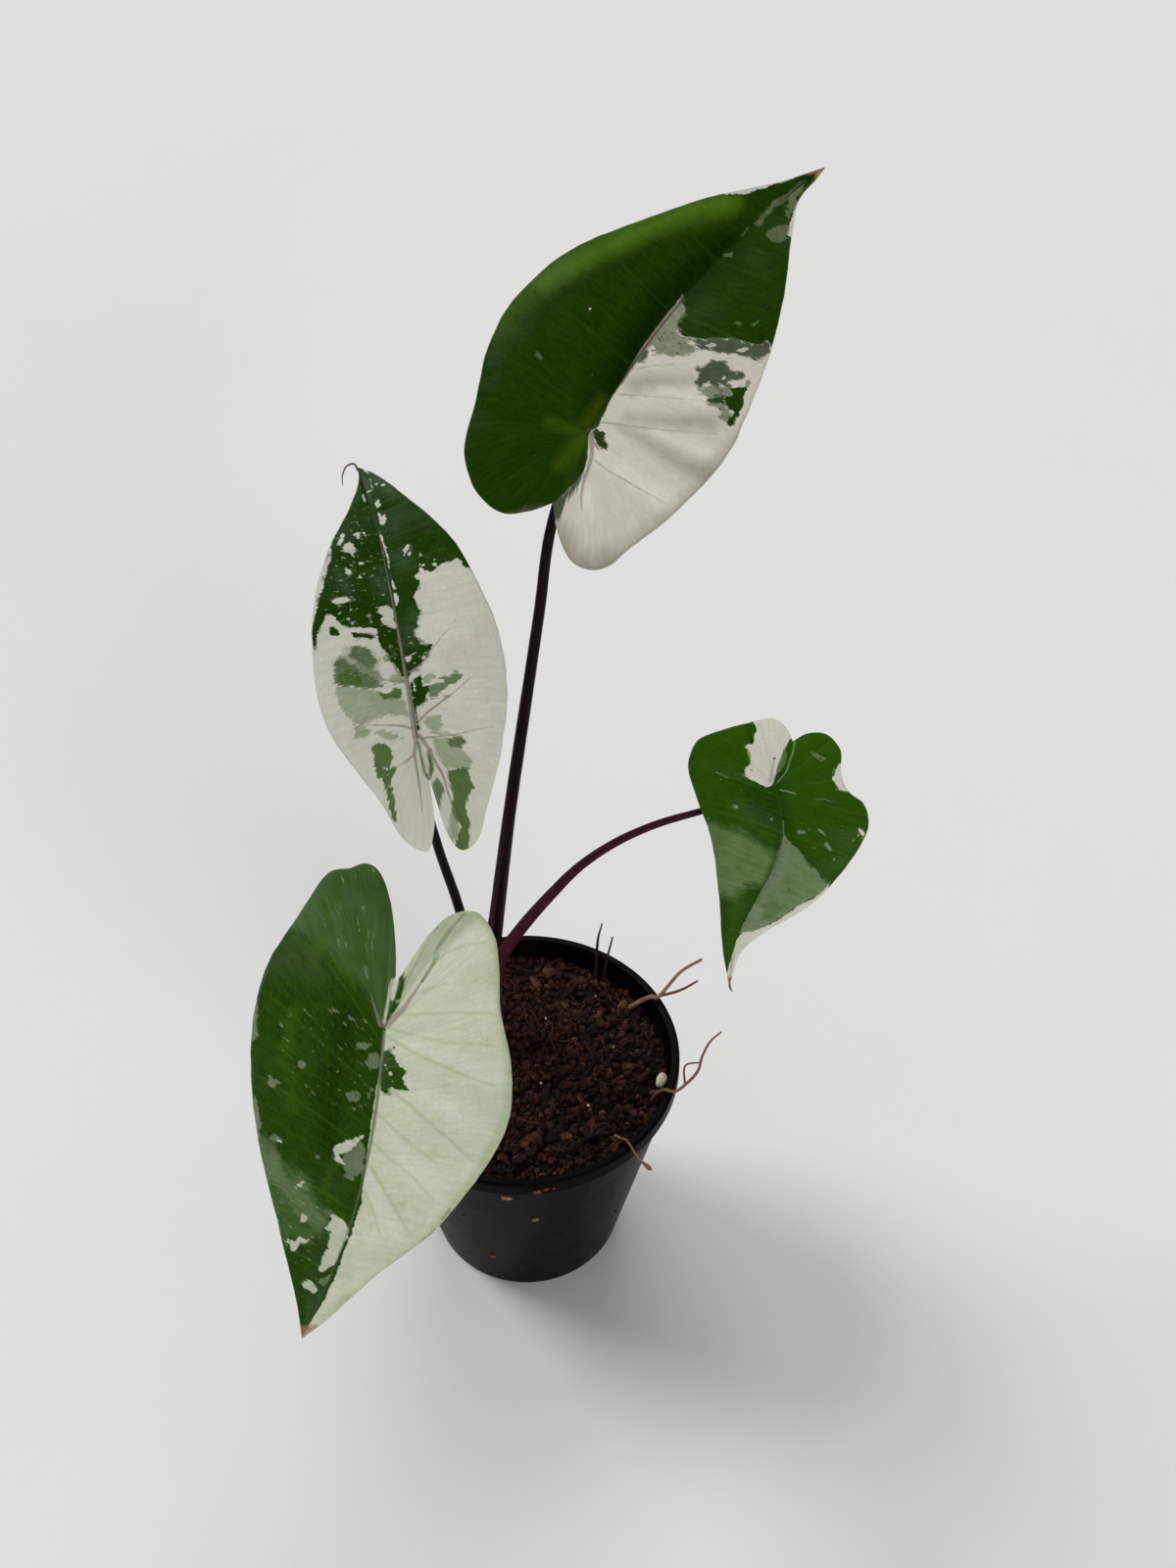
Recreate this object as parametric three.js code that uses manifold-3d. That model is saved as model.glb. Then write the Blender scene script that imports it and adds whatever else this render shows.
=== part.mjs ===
// A young giant taro with black leaf stalks and cream-splashed leaves, in a black nursery pot.
// Millimetres, +Z up. The origin is the middle of the pot's underside; +Y is away from the front.
import * as THREE from 'three';
import { mergeVertices } from 'three/addons/utils/BufferGeometryUtils.js';
import Module from 'manifold-3d';

const wasm = await Module();
wasm.setup();

// Gap between pieces that touch.
const GAP = 0.35;

// Nursery pot: a tapered tub with a stepped rim.
const POT = {
  height: 107,
  rimRadius: 62.5,
  rimDepth: 7,
  rimStep: 2.4,
  baseRadius: 39,
  wall: 1.4,
  floor: 1.8,
  drainRadius: 4,
  drainCircle: 26,
  drainCount: 6,
  sides: 48,
};

// Potting mix of husk chips, its level below the rim, and the lumps of its surface.
const MIX = {
  level: 98,
  lump: 1.1,
  lumpLength: 3.3,
  edge: 8,
  rings: 8,
  spokes: 40,
  chips: 54,
  chipLength: [5, 10],
  chipWidth: [3, 5.5],
  chipThickness: [1.8, 3.2],
  chipTilt: 0.4,
  chipMargin: 6.5,
};

// Stem that the leaf stalks grow from, standing in the mix.
const STEM = { x: -16.5, y: 19.5, foot: 84, top: 116, radius: 6.4, topRadius: 4.3, scars: 4 };

// A grain of white pumice on the mix, beside the pot's wall.
const GRAIN = { position: [55.4, -7.8, 99.6], radii: [2.1, 3.2, 1.9] };

// Leaf blades: the midrib stands out below, and the valley over it is rounded. Waves reach their
// stated height at WAVE_REACH from the midrib. Rows run out from the midrib, columns along it.
const BLADE_THICKNESS = 1;
const MIDRIB_DEPTH = [1.9, 0.4];
const MIDRIB_WIDTH = 2.6;
const VEIN_DEPTH = 0.5;
const VEIN_SPAN = 30;
const FOLD_ROUNDING = 4;
const WAVE_REACH = 50;
const ROWS = 24;
const LOBE_ROWS = 8;
const ROWS_PER_VEIN = 3;
const COLUMNS = 6;

// The open sheath of the youngest stalk: depth of its channel, height of its edges, as parts of
// the radius, and the share of the stalk over which it closes.
const SHEATH = { channel: 0.62, edge: 0.22, closing: 0.2, sides: 12 };
const STALK_SIDES = 9;
const FRONT = new THREE.Vector3(0.15, -1, 0.1);

// Leaves. Each blade lies flat in its own plane, its stalk's end at (0, 0), its tip towards +y and
// its upper face towards +z. left and right are the margins from the notch between the lobes to
// the tip. azimuth, elevation and roll turn that plane to the way the leaf points.
const LEAVES = [
  {
    name: 'a',
    colour: 0x3f6b2c,
    joint: [26, 67, 362],
    azimuth: 43,
    elevation: 32,
    roll: -12,
    tip: [2, 124],
    notch: [5, -26],
    left: [[0, -33], [-7, -39], [-18, -39], [-30, -31], [-39, -14], [-48, 5], [-53, 24], [-49, 41],
      [-37, 63], [-21, 89], [-6, 110]],
    right: [[11, -32], [24, -38.5], [35, -35], [40, -23], [47, -3], [47, 18], [42, 40], [25, 76],
      [12, 95], [3.5, 109], [3, 118]],
    fold: [0.5, 0.32],
    curl: [0.0085, 0.003],
    droop: 0.0008,
    droopFrom: 0,
    lobeDroop: 0.004,
    bow: -4.5,
    sway: 0,
    wave: { height: 1.5, length: 45, phase: [0.5, 2] },
    stalk: {
      route: [[-16, 19.2, 116.4], [-14.2, 19, 131], [-10.5, 22, 156], [-3.5, 32, 212], [5, 45, 270],
        [9, 52, 297], [12.5, 59, 323], [18, 63.5, 343], [26, 67, 362]],
      radii: [4.4, 3.9, 3.1, 2.4, 2.1, 2, 1.9, 1.8, 1.8],
      groove: 0.42,
      steps: 30,
    },
  },
  {
    name: 'b',
    colour: 0xa9b59a,
    joint: [-34, 16, 268],
    azimuth: 104,
    elevation: 38,
    roll: 0,
    tip: [-1, 105],
    notch: [1.5, -15],
    left: [[1.2, -24], [0.2, -33], [-3.5, -40], [-11, -35], [-17, -21], [-25, -6], [-31, 8],
      [-32, 26], [-28, 50], [-19, 71], [-8, 87], [-2, 99]],
    right: [[2.8, -24], [4.6, -35], [8.5, -41.5], [14, -40], [19, -30], [27, -12], [33, 7],
      [35, 26], [31.5, 48], [25.5, 68], [14, 87], [4, 101]],
    fold: [0.45, 0.45],
    curl: [0.007, 0.007],
    droop: 0.004,
    droopFrom: 30,
    lobeDroop: 0.004,
    bow: 1,
    sway: 0,
    wave: { height: 1.2, length: 40, phase: [0, 1.5] },
    stalk: {
      route: [[-18.3, 20.4, 108.5], [-19.5, 20, 131], [-23, 18, 172], [-29.6, 17, 210],
        [-33.6, 16.5, 240], [-34, 16, 268]],
      radii: [5.4, 3.2, 1.95, 1.75, 1.7, 1.7],
      groove: 0,
      steps: 18,
    },
  },
  {
    name: 'c',
    colour: 0x9fb888,
    joint: [-44, -69, 210],
    azimuth: -101,
    elevation: -19,
    roll: 4,
    tip: [6.5, 103],
    notch: [0, -18],
    left: [[-4, -30], [-8, -40], [-14, -48], [-22, -49.5], [-30, -41.5], [-34, -31], [-38, -14],
      [-46, 7], [-48.5, 23], [-43, 43], [-31, 64], [-15, 80], [-1, 96]],
    right: [[3.5, -33], [10, -51], [17, -61.5], [22, -62.5], [26, -59], [32, -56], [38, -39],
      [43.5, -19], [43.5, 12], [33, 45], [20, 72], [10.5, 92]],
    fold: [0.4, 0.4],
    curl: [0.006, 0.006],
    droop: 0.002,
    droopFrom: 0,
    lobeDroop: 0.003,
    bow: -4.5,
    sway: 0,
    wave: { height: 2, length: 48, phase: [1, 2.5] },
    stalk: {
      route: [[-17, 15.6, 107.5], [-18.3, 11.5, 130], [-21.5, 0, 160], [-28, -22, 186],
        [-36, -46, 201], [-44, -69, 210]],
      radii: [5.4, 3.3, 2.2, 2, 1.9, 1.8],
      groove: 0,
      steps: 17,
    },
  },
  {
    name: 'd',
    colour: 0x47702f,
    joint: [96, 37, 222],
    azimuth: -103,
    elevation: -38,
    roll: 15,
    tip: [-1, 76],
    notch: [-4, -18],
    left: [[-9, -22], [-16, -23], [-22, -18], [-23.5, -9.5], [-27.5, -3], [-34, 0.5], [-37, 8],
      [-34, 20], [-22, 41], [-10, 52], [-2, 61.5]],
    right: [[-0.5, -23], [5, -25], [13, -22], [23, -17], [32, -11], [34, -2], [29, 9], [20, 25],
      [12.5, 44], [6, 62]],
    fold: [0.3, 0.3],
    curl: [0.007, 0.007],
    droop: 0.005,
    droopFrom: 0,
    lobeDroop: 0.006,
    bow: -2.9,
    sway: -4.2,
    wave: { height: 2.5, length: 34, phase: [0, 3] },
    stalk: {
      route: [[-13.2, 17.6, 108.8], [-11.6, 15.2, 130], [-7.6, 14, 150.5], [0.2, 15, 166],
        [11.7, 18, 182], [23, 22, 194], [36.6, 25.5, 203.5], [51.7, 29, 209.6], [67.6, 32.5, 212.7],
        [82, 35, 216], [96, 37, 222]],
      radii: [5.4, 3.5, 2.6, 2.35, 2.1, 1.8, 1.6, 1.45, 1.3, 1.25, 1.25],
      groove: 0,
      steps: 26,
    },
  },
];

// Husk fibres that reach out of the mix, most of them over the rim. radii run from root to tip.
const FIBRES = [
  {
    radii: [0.9, 0.85, 0.6],
    route: [[41, 31, 96], [48.6, 28.8, 105.6], [51.6, 27.4, 109.1], [54.7, 27.6, 109.2],
      [58, 30.6, 111], [64, 36, 115], [72.4, 39.8, 118]],
  },
  {
    radii: [0.6, 0.6, 0.4],
    route: [[54.7, 27.6, 109.2], [64, 30, 110.5], [70.7, 32.6, 113]],
  },
  {
    radii: [0.6, 0.6, 0.6, 0.4],
    route: [[50.5, -16, 96], [53.8, -17.4, 105.4], [56.2, -18.9, 108.9], [60, -20, 109.1],
      [64, -17.7, 110.2], [69.1, -13.1, 113], [71.1, -8.4, 117], [74.2, -4.5, 121], [78.4, -2.2, 124]],
  },
  {
    radii: [0.45, 0.4, 0.4],
    route: [[64, -17.7, 110.2], [64.4, -9.9, 112.3], [70.2, -10.4, 115.2]],
  },
  {
    radii: [0.55, 0.5, 0.5, 1.1],
    route: [[36, -31, 96], [39.3, -39.9, 105.4], [40.9, -43, 108.8], [42.6, -46.3, 109.1],
      [43.8, -49.1, 109.3], [46.6, -52.1, 107.8], [49.6, -53.8, 105.6]],
  },
  {
    radii: [0.7, 0.6, 0.3],
    route: [[29, 46, 96], [29.4, 48.6, 104], [29.7, 50.6, 112], [30.4, 52.5, 118], [31.8, 54, 124]],
  },
  {
    radii: [0.6, 0.5, 0.3],
    route: [[32.6, 43.5, 96], [33, 46, 104], [34, 48, 109.5], [35.2, 50.3, 114], [36.2, 52, 118]],
  },
];

const FIBRE_SIDES = 5;
const FIBRE_UP = new THREE.Vector3(0.3, 0.2, 1);

const FINISH = {
  pot: { color: 0x151517, roughness: 0.5, metalness: 0 },
  mix: { color: 0x5a3524, roughness: 0.95, metalness: 0 },
  grain: { color: 0xd9cdb6, roughness: 0.9, metalness: 0 },
  stem: { color: 0x2b1a1c, roughness: 0.6, metalness: 0 },
  stalk: { color: 0x2a1119, roughness: 0.4, metalness: 0 },
};
const BLADE_FINISH = { roughness: 0.38, metalness: 0 };

const lerp = THREE.MathUtils.lerp;
const clamp = THREE.MathUtils.clamp;
const radians = THREE.MathUtils.degToRad;

// A small seeded random number generator, so that each build is the same.
function seeded(seed) {
  let state = seed;
  return () => {
    state = (state * 1664525 + 1013904223) % 4294967296;
    return state / 4294967296;
  };
}

// Closed indexed geometry from corner points and triangles, with its faces turned outwards.
function closedGeometry(points, triangles) {
  const geometry = new THREE.BufferGeometry();
  geometry.setAttribute('position', new THREE.Float32BufferAttribute(points.flat(), 3));
  geometry.setIndex(triangles.flat());
  return tidy(geometry);
}

// Shared corners merged, flat triangles dropped and the faces turned outwards.
function tidy(source) {
  const bare = source.index ? source.clone() : source;
  bare.deleteAttribute('normal');
  bare.deleteAttribute('uv');
  const merged = mergeVertices(bare, 1e-4);
  const position = merged.attributes.position;
  const index = merged.index.array;
  const kept = [];
  const [a, b, c] = [new THREE.Vector3(), new THREE.Vector3(), new THREE.Vector3()];
  let volume = 0;
  for (let i = 0; i < index.length; i += 3) {
    const [p, q, r] = [index[i], index[i + 1], index[i + 2]];
    if (p === q || q === r || r === p) continue;
    kept.push(p, q, r);
    a.fromBufferAttribute(position, p);
    b.fromBufferAttribute(position, q);
    c.fromBufferAttribute(position, r);
    volume += a.dot(b.cross(c));
  }
  if (volume < 0) kept.reverse();
  merged.setIndex(kept);
  return merged;
}

function toSolid(geometry) {
  return new wasm.Manifold(new wasm.Mesh({
    numProp: 3,
    vertProperties: new Float32Array(geometry.attributes.position.array),
    triVerts: new Uint32Array(geometry.index.array),
  }));
}

function toGeometry(solid) {
  const mesh = solid.getMesh();
  const geometry = new THREE.BufferGeometry();
  geometry.setAttribute('position', new THREE.Float32BufferAttribute(mesh.vertProperties, 3));
  geometry.setIndex(Array.from(mesh.triVerts));
  return geometry;
}

// The largest body that a cut leaves; loose scraps are dropped.
function largest(solid) {
  return solid.decompose().reduce((best, body) => (body.volume() > best.volume() ? body : best));
}

function namedMesh(name, geometry, finish) {
  const shown = geometry.toNonIndexed();
  shown.computeVertexNormals();
  const mesh = new THREE.Mesh(shown, new THREE.MeshStandardMaterial(finish));
  mesh.name = name;
  return mesh;
}

// A solid loft along a route. shape(angle, fraction) scales the radius, and grow thickens it all.
function loft(route, radii, steps, sides, facing, shape = () => 1, grow = 0) {
  const curve = new THREE.CatmullRomCurve3(route.map((p) => new THREE.Vector3(...p)), false, 'centripetal');
  const points = [];
  const triangles = [];
  const spread = new THREE.Vector3();
  for (let i = 0; i <= steps; i += 1) {
    const t = i / steps;
    const centre = curve.getPoint(t);
    const along = curve.getTangent(t);
    const across = new THREE.Vector3().crossVectors(along, facing).normalize();
    const front = new THREE.Vector3().crossVectors(across, along).normalize();
    const place = t * (radii.length - 1);
    const k = Math.min(Math.floor(place), radii.length - 2);
    const radius = lerp(radii[k], radii[k + 1], place - k);
    const end = i === 0 ? -grow : i === steps ? grow : 0;
    for (let j = 0; j < sides; j += 1) {
      const angle = (j / sides) * Math.PI * 2;
      const size = radius * shape(angle, t) + grow;
      spread.copy(front).multiplyScalar(Math.cos(angle) * size);
      spread.addScaledVector(across, Math.sin(angle) * size).addScaledVector(along, end).add(centre);
      points.push(spread.toArray());
    }
  }
  for (let i = 0; i < steps; i += 1) {
    for (let j = 0; j < sides; j += 1) {
      const a = i * sides + j;
      const b = i * sides + (j + 1) % sides;
      triangles.push([a, b, b + sides], [a, b + sides, a + sides]);
    }
  }
  const last = steps * sides;
  for (const [start, end, flip] of [[0, 0, true], [last, steps, false]]) {
    const hub = points.length;
    const centre = curve.getPoint(end / steps);
    const along = curve.getTangent(end / steps).multiplyScalar(end === 0 ? -grow : grow);
    points.push(centre.add(along).toArray());
    for (let j = 0; j < sides; j += 1) {
      const pair = [start + j, start + (j + 1) % sides];
      triangles.push(flip ? [hub, pair[1], pair[0]] : [hub, pair[0], pair[1]]);
    }
  }
  return closedGeometry(points, triangles);
}

function ringProfile(outline, sides) {
  const geometry = new THREE.LatheGeometry(outline.map((p) => new THREE.Vector2(...p)), sides);
  geometry.rotateX(Math.PI / 2);
  return tidy(geometry);
}

// Inside radius of the pot at a height.
function potInside(z) {
  const top = POT.rimRadius - POT.rimStep;
  return lerp(POT.baseRadius, top, z / (POT.height - POT.rimDepth)) - POT.wall;
}

function pot() {
  const lip = POT.height - POT.rimDepth;
  const shoulder = POT.rimRadius - POT.rimStep;
  const mouth = potInside(lip);
  const tub = toSolid(ringProfile([
    [0, 0],
    [POT.baseRadius - 1.2, 0],
    [POT.baseRadius, 1.2],
    [shoulder, lip - 1],
    [POT.rimRadius - 0.3, lip],
    [POT.rimRadius, POT.height - 1],
    [POT.rimRadius - 0.8, POT.height],
    [mouth + 1, POT.height],
    [mouth + 0.4, POT.height - 0.8],
    [mouth, lip],
    [potInside(POT.floor), POT.floor],
    [0, POT.floor],
  ], POT.sides));
  let cut = tub;
  for (let i = 0; i < POT.drainCount; i += 1) {
    const angle = ((i + 0.5) / POT.drainCount) * Math.PI * 2;
    const hole = new THREE.CylinderGeometry(POT.drainRadius, POT.drainRadius, POT.floor * 3, 14);
    hole.rotateX(Math.PI / 2);
    hole.translate(Math.cos(angle) * POT.drainCircle, Math.sin(angle) * POT.drainCircle, POT.floor / 2);
    cut = cut.subtract(toSolid(tidy(hole)));
  }
  return toGeometry(cut);
}

// Height of the mix: lumps that fade out at the wall.
function mixHeight(x, y) {
  const broad = Math.sin(x / MIX.lumpLength + 1.3) * Math.cos(y / MIX.lumpLength - 0.4);
  const fine = 0.6 * Math.sin((2 * x - 1.7 * y) / MIX.lumpLength);
  const edge = clamp((potInside(MIX.level) - Math.hypot(x, y)) / MIX.edge, 0, 1);
  return MIX.level + MIX.lump * (broad + fine) * edge;
}

function mixBed() {
  const foot = POT.floor + GAP;
  const points = [[0, 0, mixHeight(0, 0)]];
  const triangles = [];
  const outer = potInside(MIX.level) - GAP;
  const spoke = (ring, j) => 1 + (ring - 1) * MIX.spokes + (j % MIX.spokes);
  for (let ring = 1; ring <= MIX.rings + 1; ring += 1) {
    const below = ring > MIX.rings;
    const radius = below ? potInside(foot) - GAP : (outer * ring) / MIX.rings;
    for (let j = 0; j < MIX.spokes; j += 1) {
      const angle = ((j + 0.5 * (ring % 2)) / MIX.spokes) * Math.PI * 2;
      const [x, y] = [Math.cos(angle) * radius, Math.sin(angle) * radius];
      points.push([x, y, below ? foot : mixHeight(x, y)]);
    }
  }
  points.push([0, 0, foot]);
  const hub = points.length - 1;
  for (let j = 0; j < MIX.spokes; j += 1) {
    triangles.push([0, spoke(1, j), spoke(1, j + 1)]);
    triangles.push([hub, spoke(MIX.rings + 1, j + 1), spoke(MIX.rings + 1, j)]);
    for (let ring = 1; ring <= MIX.rings; ring += 1) {
      const shift = ring % 2;
      const [a, b] = [spoke(ring, j), spoke(ring, j + 1)];
      const [c, d] = [spoke(ring + 1, j), spoke(ring + 1, j + 1)];
      if (shift) triangles.push([a, d, b], [a, c, d]);
      else triangles.push([a, c, b], [b, c, d]);
    }
  }
  return closedGeometry(points, triangles);
}

// Husk chips lie all over the surface, each at its own slant, clear of the stem and the grain.
function chips(random) {
  const placed = [];
  const between = (range) => lerp(range[0], range[1], random());
  const golden = Math.PI * (3 - Math.sqrt(5));
  for (let i = 0; i < MIX.chips; i += 1) {
    const reach = (potInside(MIX.level) - MIX.chipMargin) * Math.sqrt((i + 0.5) / MIX.chips);
    const angle = i * golden + random() * 0.4;
    const [x, y] = [Math.cos(angle) * reach, Math.sin(angle) * reach];
    const size = [between(MIX.chipLength), between(MIX.chipWidth), between(MIX.chipThickness)];
    const tilt = () => lerp(-MIX.chipTilt, MIX.chipTilt, random());
    const turn = new THREE.Euler(tilt(), tilt(), random() * Math.PI);
    const clear = MIX.chipLength[1] * 0.75;
    const nearStem = Math.hypot(x - STEM.x, y - STEM.y) < STEM.radius + clear;
    const nearGrain = Math.hypot(x - GRAIN.position[0], y - GRAIN.position[1]) < GRAIN.radii[0] + clear;
    if (nearStem || nearGrain) continue;
    const box = new THREE.BoxGeometry(...size);
    box.applyMatrix4(new THREE.Matrix4().makeRotationFromEuler(turn));
    box.translate(x, y, mixHeight(x, y) + 0.4);
    placed.push(toSolid(tidy(box)));
  }
  return placed;
}

function fibre({ radii, route }) {
  return toSolid(loft(route, radii, route.length * 2, FIBRE_SIDES, FIBRE_UP));
}

function grainGeometry(grow = 0) {
  const stone = new THREE.IcosahedronGeometry(1, 1);
  stone.scale(...GRAIN.radii.map((r) => r + grow));
  stone.rotateZ(-0.15);
  stone.translate(...GRAIN.position);
  return tidy(stone);
}

// The stem: a short column with the ring scars of old leaves.
function stemGeometry(grow = 0) {
  const steps = STEM.scars * 3;
  const outline = [[0, STEM.foot - grow]];
  for (let i = 0; i <= steps; i += 1) {
    const t = i / steps;
    const scar = i % 3 === 1 ? 0.35 : 0;
    const z = lerp(STEM.foot - grow, STEM.top + grow, t);
    outline.push([lerp(STEM.radius, STEM.topRadius, t * t) + scar + grow, z]);
  }
  outline.push([0, STEM.top + grow]);
  const geometry = ringProfile(outline, 18);
  geometry.translate(STEM.x, STEM.y, 0);
  return geometry;
}

// Sideways place of the midrib: bowed along the blade, straight from the stalk to the notch.
function midribX(leaf, y) {
  if (y <= 0) return (leaf.notch[0] * y) / leaf.notch[1];
  const f = Math.min(y / leaf.tip[1], 1);
  return leaf.bow * Math.sin(Math.PI * f) + leaf.sway * Math.sin(2 * Math.PI * f) + leaf.tip[0] * f ** 3;
}

// Height of the blade's upper face over its own plane: a valley along the midrib, halves that
// rise and roll over to the margin, a drooping tip and lobes, and waves that grow outwards.
function bladeHeight(leaf, x, y) {
  const s = x - midribX(leaf, y);
  const side = s < 0 ? 0 : 1;
  const valley = leaf.fold[side] * (Math.hypot(s, FOLD_ROUNDING) - FOLD_ROUNDING);
  const rolled = leaf.curl[side] * s * s;
  const droop = leaf.droop * Math.max(y - leaf.droopFrom, 0) ** 2;
  const lobes = leaf.lobeDroop * Math.max(-y, 0) ** 2;
  const swing = Math.sin((2 * Math.PI * y) / leaf.wave.length + leaf.wave.phase[side]);
  const wave = leaf.wave.height * (s / WAVE_REACH) ** 2 * swing;
  return valley - rolled - droop - lobes + wave;
}

// Fraction of the way out from the midrib for each column of the blade's grid.
function columnPlace(column, length) {
  if (column === 0) return 0;
  const first = Math.min(MIDRIB_WIDTH / Math.max(length, MIDRIB_WIDTH), 0.5);
  return lerp(first, 1, (column - 1) / (COLUMNS - 1));
}

// A blade is a grid of rows that run out from the midrib as its side veins do. Those of the lobes
// fan out from the stalk's end. Every third row is a vein, sunk above and raised below.
function bladeGeometry(leaf) {
  const upper = [];
  const lower = [];
  const triangles = [];
  const ids = new Map();
  const tipY = leaf.tip[1];
  const sides = [leaf.left, leaf.right].map((points) => {
    const all = [leaf.notch, ...points, leaf.tip].map((p) => new THREE.Vector3(p[0], p[1], 0));
    return new THREE.CatmullRomCurve3(all, false, 'centripetal').getSpacedPoints(ROWS);
  });

  const rootOf = (row) => {
    const y = tipY * clamp((row - LOBE_ROWS) / (ROWS - LOBE_ROWS), 0, 1) ** 1.1;
    return [midribX(leaf, y), y];
  };
  const vertex = (side, row, column) => {
    const onMidrib = column === 0 || row === ROWS;
    const place = onMidrib ? Math.max(row, LOBE_ROWS) : `${row === 0 ? 0 : side}:${row}:${column}`;
    if (ids.has(place)) return ids.get(place);
    const root = rootOf(row);
    const edge = row === ROWS ? { x: root[0], y: root[1] } : sides[side][row];
    const length = Math.hypot(edge.x - root[0], edge.y - root[1]);
    const out = onMidrib ? 0 : columnPlace(column, length);
    const [x, y] = [lerp(root[0], edge.x, out), lerp(root[1], edge.y, out)];
    const along = clamp(y / tipY, 0, 1);
    const veinRow = row % ROWS_PER_VEIN === 0 && row > 0;
    const relief = VEIN_DEPTH * Math.sin(Math.PI * out) * Math.min(length / VEIN_SPAN, 1);
    const z = bladeHeight(leaf, x, y) + (veinRow ? -relief : relief * 0.5);
    const rib = onMidrib ? lerp(...MIDRIB_DEPTH, along) : veinRow ? relief : 0;
    ids.set(place, upper.length);
    upper.push([x, y, z]);
    lower.push([x, y, z - BLADE_THICKNESS - rib]);
    return upper.length - 1;
  };

  const faces = [];
  const face = (a, b, c) => {
    if (a === b || b === c || c === a) return;
    const [p, q, r] = [upper[a], upper[b], upper[c]];
    const turn = (q[0] - p[0]) * (r[1] - p[1]) - (q[1] - p[1]) * (r[0] - p[0]);
    faces.push(turn > 0 ? [a, b, c] : [a, c, b]);
  };
  for (const side of [0, 1]) {
    for (let row = 0; row < ROWS; row += 1) {
      for (let column = 0; column < COLUMNS; column += 1) {
        const a = vertex(side, row, column);
        const b = vertex(side, row, column + 1);
        const c = vertex(side, row + 1, column + 1);
        const d = vertex(side, row + 1, column);
        face(a, b, c);
        face(a, c, d);
      }
    }
  }

  // Both faces share the same triangles, and a strip closes them along the margin.
  const offset = upper.length;
  for (const [a, b, c] of faces) {
    triangles.push([a, b, c], [a + offset, c + offset, b + offset]);
  }
  const margin = [];
  for (let row = 0; row <= ROWS; row += 1) margin.push(vertex(1, row, COLUMNS));
  for (let row = ROWS - 1; row > 0; row -= 1) margin.push(vertex(0, row, COLUMNS));
  for (let i = 0; i < margin.length; i += 1) {
    const [a, b] = [margin[i], margin[(i + 1) % margin.length]];
    triangles.push([a, a + offset, b + offset], [a, b + offset, b]);
  }
  return closedGeometry([...upper, ...lower], triangles);
}

// Turn and place of a leaf's plane in the plant.
function leafMatrix(leaf, drop = 0) {
  const [azimuth, elevation, roll] = [leaf.azimuth, leaf.elevation, leaf.roll].map(radians);
  const along = new THREE.Vector3(
    Math.cos(elevation) * Math.cos(azimuth),
    Math.cos(elevation) * Math.sin(azimuth),
    Math.sin(elevation),
  );
  const level = new THREE.Vector3().crossVectors(along, new THREE.Vector3(0, 0, 1)).normalize();
  const up = new THREE.Vector3().crossVectors(level, along);
  const across = level.clone().multiplyScalar(Math.cos(roll)).addScaledVector(up, Math.sin(roll));
  const normal = up.clone().multiplyScalar(Math.cos(roll)).addScaledVector(level, -Math.sin(roll));
  const joint = new THREE.Vector3(...leaf.joint).addScaledVector(normal, -drop);
  return new THREE.Matrix4().makeBasis(across, along, normal).setPosition(joint);
}

// A stalk is round above; the youngest one's sheath below is open towards the front.
function stalkGeometry(leaf, grow = 0) {
  const { route, radii, groove, steps } = leaf.stalk;
  if (groove === 0) return loft(route, radii, steps, STALK_SIDES, FRONT, () => 1, grow);
  const shape = (angle, t) => {
    const open = clamp((groove - t) / SHEATH.closing, 0, 1);
    const corner = Math.round((Math.min(angle, Math.PI * 2 - angle) / Math.PI / 2) * SHEATH.sides);
    if (corner === 0) return 1 - SHEATH.channel * open;
    return corner === 1 ? 1 + SHEATH.edge * open : 1;
  };
  return loft(route, radii, steps, SHEATH.sides, FRONT, shape, grow);
}

const group = new THREE.Group();
const potGroup = new THREE.Group();
const plant = new THREE.Group();
group.add(potGroup, plant);

potGroup.add(namedMesh('pot', pot(), FINISH.pot));

const random = seeded(7);
const hollow = [toSolid(stemGeometry(GAP)), toSolid(grainGeometry(GAP))];
let bed = toSolid(mixBed());
for (const piece of [...chips(random), ...FIBRES.map(fibre)]) bed = bed.add(piece);
for (const piece of hollow) bed = bed.subtract(piece);
potGroup.add(namedMesh('potting_mix', toGeometry(largest(bed)), FINISH.mix));
potGroup.add(namedMesh('pumice_grain', grainGeometry(), FINISH.grain));

plant.add(namedMesh('stem', stemGeometry(), FINISH.stem));

// Each older stalk's sheath clasps the stem and the younger stalks inside it.
const inside = [hollow[0]];
for (const leaf of LEAVES) {
  const blade = bladeGeometry(leaf);
  const placed = leafMatrix(leaf);
  const bladeSolid = toSolid(blade.clone().applyMatrix4(placed));
  const clearance = toSolid(blade.clone().applyMatrix4(leafMatrix(leaf, GAP)));
  let stalk = toSolid(stalkGeometry(leaf)).subtract(bladeSolid).subtract(clearance);
  for (const younger of inside) stalk = stalk.subtract(younger);
  inside.push(toSolid(stalkGeometry(leaf, GAP)));
  plant.add(namedMesh(`petiole_${leaf.name}`, toGeometry(largest(stalk)), FINISH.stalk));

  const mesh = namedMesh(`blade_${leaf.name}`, blade, { color: leaf.colour, ...BLADE_FINISH });
  placed.decompose(mesh.position, mesh.quaternion, mesh.scale);
  plant.add(mesh);
}

export default group;
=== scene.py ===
import math
from collections import namedtuple

import bpy
import numpy as np
from mathutils import Matrix


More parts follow.
